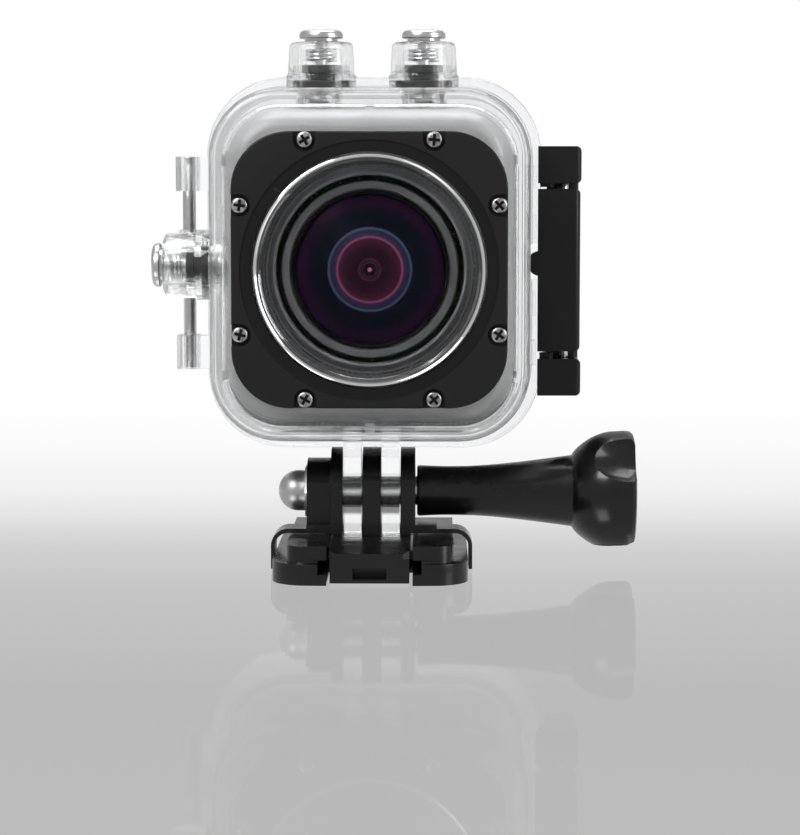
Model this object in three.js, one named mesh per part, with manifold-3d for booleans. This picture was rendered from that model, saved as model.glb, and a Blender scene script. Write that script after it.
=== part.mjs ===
// An action camera in a clear waterproof housing, on a thumbscrew mount with a quick-release base.
// Millimetres. +X is the thumbscrew's side, +Y is the back, +Z is up.
// The origin is the centre of the adhesive base's underside.

import * as THREE from 'three';
import { mergeVertices } from 'three/addons/utils/BufferGeometryUtils.js';
import Module from 'manifold-3d';

const wasm = await Module();
wasm.setup();

// ---- Driving dimensions ----

const GAP = 0.3; // between pieces that touch or slide
const PORT_SIDES = 36; // sides of the port's circles
const ROUND = 24; // sides of a large circle
const FINE = 14; // sides of a small circle

// Mount: the bolt's axis runs along X at this height.
const BOLT_Z = 12.3;
const BOLT_R = 2.5;
const FINGER_PITCH = 6.15;
const FINGER_T = 3;
const FORK_R = 7.1;
const BASE = { halfX: 15.4, front: -22.2, back: 18, footTop: 3.3, floorTop: 1.7, railTop: 5.9 };
const PAD = { half: 13.4, front: -7.8, back: 13.4, thick: 0.8 };
const BLOCK = { halfX: 6.2, front: -21.6, back: 12, tongueTop: 5.8, top: 5.3 };

// Housing: half widths along X, and low and high edges along Z.
const SHELL = { half: 25, low: 22, high: 77, corner: 11, front: -18, wall: 1.7 };
const STEP = { half: 26.3, low: 20.5, high: 78.2, corner: 11.8, front: 9 };
const FLANGE = { half: 27.9, low: 17.8, high: 79.8, corner: 13, front: 14, back: 16.7 };
const DOOR = { front: 17, back: 20, rim: 21 };
const HINGE = { x: -31.3, y: 18.5, low: 31.1, high: 66.6, r: 1.1, bore: 1.3, lugR: 1.85 };

// Camera body inside the housing: a silver front cover on a slightly larger rear cover.
const CAMERA = { front: -15.7, split: -9, back: 16.6, wall: 1.5 };
const FRONT_COVER = { half: 22.6, low: 24.6, high: 74, corner: 8.6 };
const REAR_COVER = { half: 22.75, low: 23.7, high: 74.1, corner: 8.8 };
const CAVITY = { half: 23.1, low: 23.35, high: 74.45, corner: 9 };
const PORT_Z = 48.85; // centre of the lens and port
const PORT = { half: 21.4, corner: 9, front: -20, back: -18.3, holeR: 18.3 };
const SCREW = {
  headR: 1.3, shankR: 0.65, holeR: 0.95, pocketR: 1.72, floor: -18.95, front: -19.85, tip: -16.95,
};
const GLASS = { r: 16.1, front: -18.7, back: -17.2, seatR: 17.3, holeR: 15.8 };

// Plunger stations: on the top wall, and on the side wall.
const TOP_X = 8.3;
const TOP_Y = 3;
const SIDE_X = -25.75;
const SIDE_Z = 49;

// Latch: it swings on the door's right edge, and its inner side clears the flange as the door opens.
const LATCH = { x: 31.5, y: 18.8, right: 33.95, front: 2, low: 27.65, high: 68.2, cap: 6, pinR: 0.85, lugR: 1.95 };
const LEVER = { x: 31.2, y: 6, low: 34.9, high: 61.3, back: 8.5, right: 33.8, pinR: 0.8 };
const LATCH_SWEEP_R = 60.45; // about the door's hinge

// ---- Solids ----

function solid(geometry) {
  const bare = geometry.index ? geometry.toNonIndexed() : geometry.clone();
  bare.deleteAttribute('normal');
  bare.deleteAttribute('uv');
  const merged = mergeVertices(bare, 1e-4);
  const triangles = [];
  const index = merged.index.array;
  for (let i = 0; i < index.length; i += 3) {
    const [a, b, c] = [index[i], index[i + 1], index[i + 2]];
    if (a !== b && b !== c && c !== a) triangles.push(a, b, c);
  }
  return new wasm.Manifold(new wasm.Mesh({
    numProp: 3,
    vertProperties: new Float32Array(merged.attributes.position.array),
    triVerts: new Uint32Array(triangles),
  }));
}

function toGeometry(manifold) {
  const mesh = manifold.getMesh();
  const geometry = new THREE.BufferGeometry();
  geometry.setAttribute('position', new THREE.BufferAttribute(new Float32Array(mesh.vertProperties), 3));
  geometry.setIndex(new THREE.BufferAttribute(new Uint32Array(mesh.triVerts), 1));
  geometry.computeVertexNormals();
  return geometry;
}

function join(...parts) {
  return parts.reduce((whole, part) => whole.add(part));
}

function cut(body, ...tools) {
  return tools.reduce((left, tool) => left.subtract(tool), body);
}

function box(x0, x1, y0, y1, z0, z1) {
  const geometry = new THREE.BoxGeometry(x1 - x0, y1 - y0, z1 - z0);
  return solid(geometry.translate((x0 + x1) / 2, (y0 + y1) / 2, (z0 + z1) / 2));
}

// Turns a shape built along +Y so that it runs along the named axis.
function along(axis, geometry) {
  if (axis === 'x') geometry.rotateZ(-Math.PI / 2);
  if (axis === 'z') geometry.rotateX(Math.PI / 2);
  return geometry;
}

// A round rod along an axis, from one station to another, about a centre point.
function rod(axis, radius, from, to, centre, sides = FINE) {
  const geometry = along(axis, new THREE.CylinderGeometry(radius, radius, to - from, sides));
  const middle = (from + to) / 2;
  const place = {
    x: [middle, centre[1], centre[2]],
    y: [centre[0], middle, centre[2]],
    z: [centre[0], centre[1], middle],
  };
  return solid(geometry.translate(...place[axis]));
}

// A turned solid: [radius, station] points from the low end to the high end, about an axis.
function turned(axis, points, centre = [0, 0, 0], sides = ROUND) {
  const profile = points.map(([radius, station]) => new THREE.Vector2(radius, station));
  const geometry = along(axis, new THREE.LatheGeometry(profile, sides));
  return solid(geometry.translate(...centre));
}

// A turned ring: the profile closes on itself, and may be given either way round.
function ring(axis, points, centre, sides = ROUND) {
  const outline = points.map(([radius, station]) => new THREE.Vector2(radius, station));
  const ordered = THREE.ShapeUtils.isClockWise(outline) ? [...points].reverse() : points;
  return turned(axis, [...ordered, ordered[0]], centre, sides);
}

function roundedRect(x0, x1, z0, z1, radius) {
  const shape = new THREE.Shape();
  shape.moveTo(x0 + radius, z0);
  shape.lineTo(x1 - radius, z0);
  shape.absarc(x1 - radius, z0 + radius, radius, -Math.PI / 2, 0);
  shape.absarc(x1 - radius, z1 - radius, radius, 0, Math.PI / 2);
  shape.absarc(x0 + radius, z1 - radius, radius, Math.PI / 2, Math.PI);
  shape.absarc(x0 + radius, z0 + radius, radius, Math.PI, Math.PI * 1.5);
  return shape;
}

// Extrudes an XZ outline from one Y to another.
function slab(shape, y0, y1, curveSegments = 4) {
  const geometry = new THREE.ExtrudeGeometry(shape, { depth: y1 - y0, bevelEnabled: false, curveSegments });
  return solid(geometry.rotateX(Math.PI / 2).translate(0, y1, 0));
}

// The same, with both ends rounded in by a bevel.
function softSlab(shape, y0, y1, size, depth, curveSegments = 4) {
  const geometry = new THREE.ExtrudeGeometry(shape, {
    depth: y1 - y0 - 2 * depth,
    bevelEnabled: true,
    bevelSize: size,
    bevelThickness: depth,
    bevelOffset: -size,
    bevelSegments: 2,
    curveSegments,
  });
  return solid(geometry.rotateX(Math.PI / 2).translate(0, y1 - depth, 0));
}

// Extrudes an XY outline from one Z to another.
function plate(shape, z0, z1, curveSegments = 4) {
  const geometry = new THREE.ExtrudeGeometry(shape, { depth: z1 - z0, bevelEnabled: false, curveSegments });
  return solid(geometry.translate(0, 0, z0));
}

// Extrudes a YZ outline from one X to another.
function cheek(shape, x0, x1, curveSegments = 6) {
  const geometry = new THREE.ExtrudeGeometry(shape, { depth: x1 - x0, bevelEnabled: false, curveSegments });
  geometry.rotateZ(Math.PI / 2).rotateY(Math.PI / 2);
  return solid(geometry.translate(x0, 0, 0));
}

// ---- Materials ----

function material(color, roughness, metalness = 0, opacity = 1) {
  return new THREE.MeshStandardMaterial({ color, roughness, metalness, opacity, transparent: opacity < 1 });
}

const COLOURS = {
  black: () => material(0x161617, 0.35),
  satin: () => material(0x1b1b1d, 0.55),
  rubber: () => material(0x0e0e0f, 0.85),
  silicone: () => material(0xd9dcde, 0.5),
  textured: () => material(0x48494b, 0.7),
  clear: () => material(0xeef2f4, 0.05, 0, 0.3),
  silver: () => material(0xc8cacc, 0.35, 0.8),
  chrome: () => material(0xe6e6e6, 0.08, 1),
  steel: () => material(0xb9bbbe, 0.25, 1),
  lens: () => material(0x0a0c1c, 0.03, 0, 0.6),
  board: () => material(0x10402c, 0.6),
  foam: () => material(0x9a2020, 0.9),
};

const group = new THREE.Group();

function addPiece(name, colour, manifold, parent = group) {
  const mesh = new THREE.Mesh(toGeometry(manifold), COLOURS[colour]());
  mesh.name = name;
  parent.add(mesh);
  return mesh;
}

// ---- Mount ----

// Straight sides, with the corners drawn in to a narrower front and back.
function baseOutline(inset) {
  const half = BASE.halfX - inset;
  const front = BASE.front + inset;
  const back = BASE.back - inset;
  const shape = new THREE.Shape();
  shape.moveTo(-9.5, front);
  shape.lineTo(9.5, front);
  shape.quadraticCurveTo(half - 1.8, front + 2, half, front + 6);
  shape.lineTo(half, back - 6);
  shape.quadraticCurveTo(half - 1.8, back - 2, 9.5, back);
  shape.lineTo(-9.5, back);
  shape.quadraticCurveTo(1.8 - half, back - 2, -half, back - 6);
  shape.lineTo(-half, front + 6);
  shape.quadraticCurveTo(1.8 - half, front + 2, -9.5, front);
  return shape;
}

function rail(side) {
  const shape = new THREE.Shape();
  const inner = 6.7;
  const outer = 13.15;
  const front = -20.2;
  shape.moveTo(side * inner, front);
  shape.lineTo(side * 11, front);
  shape.quadraticCurveTo(side * outer, front + 0.8, side * outer, front + 3);
  shape.lineTo(side * outer, 15);
  shape.lineTo(side * inner, 15);
  return shape;
}

function adhesiveBase() {
  const mouth = 6.7;
  const throat = -8.6;
  const body = join(
    plate(baseOutline(0), 0, BASE.footTop),
    plate(rail(-1), BASE.footTop - 1, BASE.railTop),
    plate(rail(1), BASE.footTop - 1, BASE.railTop),
  );
  return cut(
    body,
    box(-mouth, mouth, BASE.front - 1, throat, -1, BASE.railTop + 1),
    box(-mouth, mouth, throat - 1, 12.6, BASE.floorTop, BASE.railTop + 1),
    box(-8.1, 8.1, BASE.front - 1, 12.6, BASE.floorTop, 3.7),
    box(-PAD.half - GAP, PAD.half + GAP, PAD.front - GAP, PAD.back + GAP, -1, PAD.thick + GAP),
  );
}

function fingerOutline(bottom) {
  const shape = new THREE.Shape();
  shape.moveTo(-FORK_R, bottom);
  shape.lineTo(FORK_R, bottom);
  shape.lineTo(FORK_R, BOLT_Z);
  shape.absarc(0, BOLT_Z, FORK_R, 0, Math.PI);
  return shape;
}

function hexagon(acrossFlats) {
  return { sides: 6, radius: acrossFlats / 2 / Math.cos(Math.PI / 6) };
}

// One sprung arm: out over the rail, round the corner and down beside the foot.
function buckleArm(side) {
  const [inner, outer] = [15.6, 16.2];
  const [under, over] = [6.2, 6.9];
  const root = 10;
  const tip = 0.4;
  const bend = 2.2;
  const steps = 6;
  const centreX = inner - bend;
  const centreZ = under - bend;
  const shape = new THREE.Shape();
  const curve = (radiusX, radiusZ, angle) => shape.lineTo(
    side * (centreX + radiusX * Math.cos(angle)),
    centreZ + radiusZ * Math.sin(angle),
  );
  shape.moveTo(side * root, under);
  for (let i = steps; i >= 0; i -= 1) curve(bend, bend, Math.PI / 2 * i / steps);
  shape.lineTo(side * inner, tip);
  shape.lineTo(side * outer, tip);
  for (let i = 0; i <= steps; i += 1) curve(outer - centreX, over - centreZ, Math.PI / 2 * i / steps);
  shape.lineTo(side * root, over);
  return slab(shape, -7, -1);
}

function buckle() {
  const fork = [[-6.6, -4.6], [-1.5, 1.5], [4.6, 7]];
  const pocket = [-10.5, -6.7];
  const nut = hexagon(8.6);
  const body = join(
    box(-BLOCK.halfX, BLOCK.halfX, BLOCK.front, -9, 0.3, BLOCK.tongueTop),
    box(-BLOCK.halfX, BLOCK.halfX, -9.5, BLOCK.back, 2, BLOCK.top),
    box(-7.7, 7.7, -7.5, BLOCK.back, 2, 3.3),
    box(-10.5, 10.5, -7.1, -2, 6.2, 7.5),
    rod('x', 5.35, ...pocket, [0, 0, BOLT_Z], ROUND),
    box(...pocket, -5.35, 5.35, 6.2, BOLT_Z),
    ...fork.map(([x0, x1]) => cheek(fingerOutline(6.2), x0, x1)),
    ...[[-BLOCK.halfX, -4.6], [-1.5, 1.5], [4.6, BLOCK.halfX]].map(
      ([x0, x1]) => box(x0, x1, -FORK_R, FORK_R, 4.8, 6.4),
    ),
    buckleArm(-1),
    buckleArm(1),
  );
  const slotHalf = (FINGER_PITCH - FINGER_T) / 2;
  const slots = [-1, 1].map((side) => {
    const middle = side * FINGER_PITCH / 2;
    return box(middle - slotHalf - 0.02, middle + slotHalf + 0.02, -8.6, 8.6, 3.9, 30);
  });
  return cut(
    body,
    box(-2.65, 2.65, BLOCK.front - 1, BLOCK.front + 4, 0.85, 2.65),
    rod('x', BOLT_R + GAP, -12, 12, [0, 0, BOLT_Z]),
    rod('x', nut.radius, pocket[0] - 1, -7, [0, 0, BOLT_Z], nut.sides),
    ...slots,
  );
}

function domeNut() {
  const nut = hexagon(8);
  const hex = rod('x', nut.radius, -10.9, -7.3, [0, 0, BOLT_Z], nut.sides);
  const dome = turned('x', [[0, -15.3], [1.4, -15.1], [2.6, -14.4], [3.25, -13.2], [3.3, -10.6], [0, -10.6]],
    [0, 0, BOLT_Z], FINE);
  return cut(join(hex, dome), rod('x', BOLT_R + 0.2, -13, -7, [0, 0, BOLT_Z]));
}

function thumbscrewKnob() {
  const start = 7.3;
  const headStart = 32.4;
  const profile = [[0, start], [4.15, start]];
  const steps = 6;
  for (let i = 1; i <= steps; i += 1) {
    const t = i / steps;
    profile.push([4.15 - 0.5 * Math.sin(Math.PI * t) * (1 - t) + 1.65 * t * t, start + t * (headStart - start)]);
  }
  profile.push([7.3, 34], [8.7, 36], [9.6, 38.5], [9.8, 41.6], [9.3, 42.5], [0, 42.5]);
  const body = turned('x', profile, [0, 0, BOLT_Z]);
  const scoops = [20, 140, 260].map((degrees) => {
    const angle = THREE.MathUtils.degToRad(degrees);
    const scoop = new THREE.SphereGeometry(1, FINE, 12).scale(10.5, 6.5, 6.5);
    const away = 13.7;
    scoop.translate(42.5, Math.cos(angle) * away, BOLT_Z + Math.sin(angle) * away);
    return solid(scoop);
  });
  return cut(body, rod('x', BOLT_R + GAP, start - 1, 14, [0, 0, BOLT_Z]), ...scoops);
}

// ---- Housing ----

// A plunger unit's stations run outwards from the wall that it stands on.
const GLAND = { bossR: 5.65, bossTop: 2.7, r: 5.4, topR: 5.15, top: 7.9 };
const BORE = {
  footR: 3.65, stemR: 1.3, grooveR: 4.7, web: -0.05, groove: 0.4, grooveTop: 1.65,
  sealR: 2.65, step: 2.75, upperR: 3.25, mouth: 7.35, mouthR: 3.85,
};

function glandBody() {
  return turned('z', [[0, -1.6], [GLAND.bossR, -1.6], [GLAND.bossR, GLAND.bossTop - 0.2],
    [GLAND.bossR - 0.2, GLAND.bossTop], [GLAND.r, GLAND.bossTop], [GLAND.topR, GLAND.top - 0.7],
    [GLAND.topR - 0.3, GLAND.top - 0.15], [GLAND.topR - 0.8, GLAND.top], [0, GLAND.top]]);
}

function glandBore() {
  return turned('z', [[0, -4.5], [BORE.footR, -4.5], [BORE.footR, BORE.web], [BORE.stemR, BORE.web],
    [BORE.stemR, BORE.groove], [BORE.grooveR, BORE.groove], [BORE.grooveR, BORE.grooveTop],
    [BORE.sealR, BORE.grooveTop], [BORE.sealR, BORE.step], [BORE.upperR, BORE.step],
    [BORE.upperR, BORE.mouth], [BORE.mouthR, BORE.mouth], [BORE.mouthR, 9], [0, 9]]);
}

const STATIONS = [
  { name: 'top_left', move: [-TOP_X, TOP_Y, SHELL.high], turn: 0 },
  { name: 'top_right', move: [TOP_X, TOP_Y, SHELL.high], turn: 0 },
  { name: 'side', move: [SIDE_X, 0, SIDE_Z], turn: -90 },
];

function atStation(manifold, station) {
  return manifold.rotate([0, station.turn, 0]).translate(station.move);
}

// The port screws' places from the port's centre, and the way each one's pocket opens.
function screwPoints() {
  const near = 10;
  const far = 20.05;
  const points = [];
  for (const a of [-1, 1]) {
    for (const b of [-1, 1]) {
      points.push({ x: a * near, z: b * far, open: [0, b] });
      points.push({ x: a * far, z: b * near, open: [a, 0] });
    }
  }
  return points;
}

function mountFingers() {
  const low = FORK_R + 0.8;
  return [-1, 1].map((side) => {
    const middle = side * FINGER_PITCH / 2;
    const shape = new THREE.Shape();
    shape.moveTo(-low, BOLT_Z);
    shape.absarc(0, BOLT_Z, low, Math.PI, Math.PI * 2);
    shape.lineTo(low, BOLT_Z + 2);
    shape.lineTo(9, SHELL.low + 0.5);
    shape.lineTo(-9, SHELL.low + 0.5);
    shape.lineTo(-low, BOLT_Z + 2);
    const half = (FINGER_PITCH - FINGER_T) / 2 - GAP / 2;
    return cheek(shape, middle - half, middle + half);
  });
}

function rectInside(part, inset) {
  const half = part.half - inset;
  return roundedRect(-half, half, part.low + inset, part.high - inset, part.corner - inset);
}

function rect(part) {
  return rectInside(part, 0);
}

// Small ribs inside the front wall keep the camera from moving.
function locatingRibs() {
  const inside = SHELL.front + SHELL.wall - 0.1;
  const root = CAVITY.half + 0.2;
  const tip = 21.8;
  const side = [[64.9, 66.7], [31.2, 33.1]].flatMap(([low, high]) => [
    box(-root, -tip, inside, -14.3, low, high),
    box(tip, root, inside, -14.3, low, high),
  ]);
  const top = box(-0.75, 0.75, inside, -14.6, 73.4, CAVITY.high + 0.2);
  const bottom = box(-0.75, 0.75, inside, -14.6, CAVITY.low - 0.2, 25.2);
  return [...side, top, bottom];
}

function frontShell() {
  const lugs = [[HINGE.low, 36.7], [60.9, HINGE.high]].flatMap(([low, high]) => [
    rod('z', HINGE.lugR, low, high, [HINGE.x, HINGE.y, 0]),
    box(HINGE.x - HINGE.lugR, -FLANGE.half + 1.5, FLANGE.front + 0.2, FLANGE.back, low, high),
    box(HINGE.x - HINGE.lugR, HINGE.x + 0.9, FLANGE.back - 0.2, HINGE.y, low, high),
  ]);
  const ridges = [[61.3, 65.2], [53.4, 57.3], [41.1, 45], [33.2, 37.1]].map(
    ([low, high]) => box(24, 26.3, -6, -1.5, low, high),
  );
  const walls = join(
    softSlab(rect(SHELL), SHELL.front, STEP.front + 4, 1.3, 1.3),
    slab(rect(STEP), STEP.front, FLANGE.front + 1),
    slab(rect(FLANGE), FLANGE.front, FLANGE.back),
    ...STATIONS.map((station) => atStation(glandBody(), station)),
    ...lugs,
    ...ridges,
    ...mountFingers(),
  );
  const screwHoles = screwPoints().map(
    ({ x, z }) => rod('y', SCREW.holeR, SHELL.front - 1, SHELL.front + 1.35, [x, 0, PORT_Z + z], 8),
  );
  const cavity = cut(slab(rect(CAVITY), SHELL.front + SHELL.wall, FLANGE.back + 1), ...locatingRibs());
  return cut(
    walls,
    cavity,
    rod('y', GLASS.seatR, SHELL.front - 1, SHELL.front + 1.1, [0, 0, PORT_Z], PORT_SIDES),
    rod('y', GLASS.holeR, SHELL.front, SHELL.front + 3, [0, 0, PORT_Z], PORT_SIDES),
    rod('z', HINGE.bore, HINGE.low - 1, HINGE.high + 1, [HINGE.x, HINGE.y, 0]),
    box(25, 30, 1.5, FLANGE.back + 1, 46.2, 52.2),
    rod('x', BOLT_R + GAP, -6, 6, [0, 0, BOLT_Z]),
    ...STATIONS.map((station) => atStation(glandBore(), station)),
    ...screwHoles,
  );
}

// A screw's pocket: round at the screw, and open to the plate's edge.
function screwPocket({ x, z, open }) {
  const reach = 3;
  const wide = SCREW.pocketR;
  const [alongX, alongZ] = open.map((way) => way * reach);
  const [acrossX, acrossZ] = [open[0] ? 0 : wide, open[1] ? 0 : wide];
  return join(
    rod('y', wide, PORT.front - 1, SCREW.floor, [x, 0, PORT_Z + z], 16),
    box(
      x + Math.min(0, alongX) - acrossX, x + Math.max(0, alongX) + acrossX,
      PORT.front - 1, SCREW.floor,
      PORT_Z + z + Math.min(0, alongZ) - acrossZ, PORT_Z + z + Math.max(0, alongZ) + acrossZ,
    ),
  );
}

function portPlate() {
  const body = softSlab(roundedRect(-PORT.half, PORT.half, PORT_Z - PORT.half, PORT_Z + PORT.half, PORT.corner),
    PORT.front, PORT.back, 0.25, 0.25);
  return cut(
    body,
    rod('y', PORT.holeR, PORT.front - 1, PORT.back + 1, [0, 0, PORT_Z], PORT_SIDES),
    rod('y', 20.1, PORT.front - 1, PORT.front + 0.25, [0, 0, PORT_Z], PORT_SIDES),
    ...screwPoints().map(screwPocket),
    ...screwPoints().map(
      ({ x, z }) => rod('y', SCREW.holeR, PORT.front, PORT.back + 1, [x, 0, PORT_Z + z], 8),
    ),
  );
}

function portScrew() {
  const seat = SCREW.floor - 0.25;
  const head = turned('y', [[0, SCREW.front], [0.9, SCREW.front + 0.05], [SCREW.headR, SCREW.front + 0.3],
    [SCREW.headR, seat], [0, seat]], [0, 0, 0], 18);
  const [arm, half, depth] = [0.9, 0.24, SCREW.front + 0.45];
  const cross = [box(-arm, arm, -21, depth, -half, half), box(-half, half, -21, depth, -arm, arm)];
  return cut(join(head, rod('y', SCREW.shankR, seat - 0.1, SCREW.tip, [0, 0, 0], 10)), ...cross);
}

function doorPanel() {
  const knuckle = [43.6, 54.4];
  const latchLugs = [[30.2, 35.8], [60.8, 66.4]];
  const inner = { half: 23.4, low: 23.1, high: 74.9, corner: 8.6 };
  const gasketSeat = { half: 25.3, low: 21.3, high: 76.7, corner: 10.4 };
  const panel = join(
    slab(rect(FLANGE), DOOR.front, DOOR.back),
    cut(
      slab(rectInside(FLANGE, 1.9), DOOR.back - 0.5, DOOR.rim),
      slab(rectInside(FLANGE, 3.9), DOOR.back, DOOR.rim + 1),
    ),
    rod('z', HINGE.lugR, ...knuckle, [HINGE.x, HINGE.y, 0]),
    box(HINGE.x, -FLANGE.half + 1, DOOR.front + 0.1, DOOR.back, ...knuckle),
    ...latchLugs.flatMap(([low, high]) => [
      rod('z', LATCH.lugR, low, high, [LATCH.x, LATCH.y, 0]),
      box(FLANGE.half - 1, LATCH.x, DOOR.front + 0.2, DOOR.back, low, high),
    ]),
  );
  const seat = cut(slab(rect(gasketSeat), DOOR.front - 1, DOOR.front + 1), slab(rect(inner), 0, 30));
  return cut(
    panel,
    seat,
    rod('z', HINGE.bore, 40, 60, [HINGE.x, HINGE.y, 0]),
    rod('z', LATCH.pinR + GAP, 20, 80, [LATCH.x, LATCH.y, 0]),
  );
}

function doorGasket() {
  const outer = roundedRect(-25, 25, 21.6, 76.4, 10.1);
  const inner = roundedRect(-23.7, 23.7, 22.8, 75.2, 8.9);
  return cut(slab(outer, DOOR.front + 0.05, DOOR.front + 0.75), slab(inner, 0, 30));
}

// ---- Latch ----

// The latch's inner side follows a circle about the door's hinge, so the door opens with it closed.
function latchOutline(y0, y1, right) {
  const inner = (y) => HINGE.x + Math.sqrt(LATCH_SWEEP_R ** 2 - (y - HINGE.y) ** 2);
  const corner = 0.9;
  const shape = new THREE.Shape();
  shape.moveTo(inner(y0), y0);
  shape.lineTo(right - corner, y0);
  shape.absarc(right - corner, y0 + corner, corner, -Math.PI / 2, 0);
  shape.lineTo(right, y1);
  shape.lineTo(inner(y1), y1);
  const steps = 3;
  for (let i = 1; i < steps; i += 1) {
    const y = y1 + (y0 - y1) * i / steps;
    shape.lineTo(inner(y), y);
  }
  return shape;
}

// Rounds the right-hand corners as seen from the front.
function latchFront(low, high, right) {
  const corner = 0.9;
  const shape = new THREE.Shape();
  shape.moveTo(20, low);
  shape.lineTo(right - corner, low);
  shape.absarc(right - corner, low + corner, corner, -Math.PI / 2, 0);
  shape.absarc(right - corner, high - corner, corner, 0, Math.PI / 2);
  shape.lineTo(20, high);
  return slab(shape, 0, 25, 3);
}

function latchSlab(y0, y1, right, low, high) {
  return plate(latchOutline(y0, y1, right), low, high, 3).intersect(latchFront(low, high, right));
}

function latchBracket() {
  const spine = 10.6;
  const rear = 16;
  const knuckle = [40, 57];
  const caps = [[LATCH.low, LATCH.low + LATCH.cap], [LATCH.high - LATCH.cap, LATCH.high]];
  // These fill the inner part of the gaps between the caps and the lever.
  const shoulders = [[caps[0][1] - 0.1, LEVER.low - GAP], [LEVER.high + GAP, caps[1][0] + 0.1]];
  const body = join(
    ...caps.map(([low, high]) => latchSlab(LATCH.front, rear, LATCH.right, low, high)),
    ...shoulders.map((ends) => plate(latchOutline(3.5, spine + 0.2, 29.6), ...ends, 3)),
    plate(latchOutline(spine, rear, LATCH.right), LATCH.low + 1, LATCH.high - 1, 3),
    box(29.9, 33.4, rear - 0.5, LATCH.y, ...knuckle),
    rod('z', LATCH.lugR, ...knuckle, [LATCH.x, LATCH.y, 0]),
  );
  return cut(
    body,
    rod('z', LATCH.pinR + GAP, 38, 60, [LATCH.x, LATCH.y, 0]),
    rod('z', LEVER.pinR + GAP, LATCH.low + 2, LATCH.high - 2, [LEVER.x, LEVER.y, 0]),
  );
}

function latchLever() {
  const thumbR = 2;
  const tab = rod('y', thumbR, LATCH.front, 4, [27.2, 0, 49.2]).intersect(box(25.45, 28, 0, 5, 40, 60));
  return cut(
    join(latchSlab(LATCH.front, LEVER.back, LEVER.right, LEVER.low, LEVER.high), tab),
    rod('z', LEVER.pinR + GAP, 20, 80, [LEVER.x, LEVER.y, 0]),
  );
}

// ---- Plunger units ----

function plunger() {
  return turned('z', [
    [0, -2.45], [2, -2.45], [2.2, -2.25], [2.2, -1.8], [3.2, -1.8], [3.3, -1.65], [3.3, -1.2], [3.05, -0.75],
    [2.4, -0.45], [1, -0.3], [1, 7.95], [2.65, 7.95], [2.65, 8.5], [3.45, 8.5], [3.52, 8.65], [3.45, 9.3],
    [3.15, 9.7], [2.6, 9.88], [0, 9.95],
  ], [0, 0, 0], FINE);
}

function plungerSeal() {
  return ring('z', [[1.25, 0.75], [2.2, 0.75], [2.2, 1.8], [2.55, 1.85], [2.55, 2.85], [3, 2.85], [3.15, 3.05],
    [3.15, 3.9], [3, 4.15], [1.25, 4.15]], [0, 0, 0], FINE);
}

function glandRing() {
  return ring('z', [[3.4, 0.65], [3.7, 0.48], [4.3, 0.48], [4.6, 0.65], [4.6, 1.4], [4.3, 1.57], [3.7, 1.57],
    [3.4, 1.4]], [0, 0, 0], FINE);
}

const SPRING = { r: 2.3, wireR: 0.24, low: 4.75, height: 1.9, turns: 3, steps: 33 };

class Helix extends THREE.Curve {
  getPoint(t) {
    const angle = t * SPRING.turns * Math.PI * 2;
    return new THREE.Vector3(
      Math.cos(angle) * SPRING.r,
      Math.sin(angle) * SPRING.r,
      SPRING.low + t * SPRING.height,
    );
  }
}

function returnSpring() {
  const section = new THREE.Shape();
  section.absarc(0, 0, SPRING.wireR, 0, Math.PI * 2);
  const options = { steps: SPRING.steps, bevelEnabled: false, curveSegments: 3, extrudePath: new Helix() };
  return solid(new THREE.ExtrudeGeometry(section, options));
}

function cameraButton() {
  return turned('z', [[0, -5.9], [3.1, -5.9], [3.1, -5.4], [2.4, -5.4], [2.4, -3], [2.15, -2.75], [0, -2.75]],
    [0, 0, 0], FINE);
}

// ---- Camera ----

function cameraFront() {
  const cover = softSlab(rect(FRONT_COVER), CAMERA.front, 6, 3.2, 5.5);
  return cut(
    cover.intersect(box(-40, 40, -30, CAMERA.split, 0, 100)),
    slab(rectInside(FRONT_COVER, CAMERA.wall + 2.2), CAMERA.front + CAMERA.wall, 0),
    rod('y', 16.5, -30, 0, [0, 0, PORT_Z], PORT_SIDES),
  );
}

function cameraRear() {
  const start = CAMERA.split + GAP;
  return cut(
    softSlab(rect(REAR_COVER), -20, CAMERA.back, 1.2, 1.2).intersect(box(-40, 40, start, 40, 0, 100)),
    slab(rectInside(REAR_COVER, CAMERA.wall), start - 1, CAMERA.back - CAMERA.wall),
    slab(roundedRect(-16.2, 16.2, 38, 62.4, 1), CAMERA.back - 0.8, CAMERA.back + 1),
    ...STATIONS.map((station) => atStation(rod('z', 2.7, -5.2, 0, [0, 0, 0], FINE), station)),
  );
}

// The bezel's face slopes forward to its inner edge.
function lensBezel() {
  return ring('y', [[16.2, -12.5], [16.2, -15.2], [16, -15.45], [15.1, -16.55], [14.9, -16.6], [14.7, -16.4],
    [14.6, -15.8], [14.6, -12.5]], [0, 0, PORT_Z], PORT_SIDES);
}

function lensBarrel() {
  return ring('y', [
    [3.5, 2], [12.6, 2], [12.6, -11.6], [13.75, -12], [13.75, -15.6], [13.55, -15.9], [12.65, -15.9],
    [12.5, -15.75], [12.5, -14.7], [12.1, -14.7], [12.1, -11], [6.9, -11], [6.9, -5], [3.5, -5],
  ], [0, 0, PORT_Z], PORT_SIDES);
}

function retainingRing() {
  return ring('y', [[11.85, -14.95], [12.25, -14.95], [12.25, -15.5], [12.05, -15.65], [11.85, -15.55]],
    [0, 0, PORT_Z], PORT_SIDES);
}

function domeLens(radius, edge, apex, back, sides) {
  const steps = 5;
  const profile = [[0, back], [radius, back]];
  const sag = edge - apex;
  for (let i = 0; i <= steps; i += 1) {
    const r = radius * Math.cos(Math.PI / 2 * i / steps);
    profile.push([i === steps ? 0 : r, edge - sag * (1 - (r / radius) ** 2)]);
  }
  return turned('y', profile.reverse(), [0, 0, PORT_Z], sides);
}

// ---- Assembly ----

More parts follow.
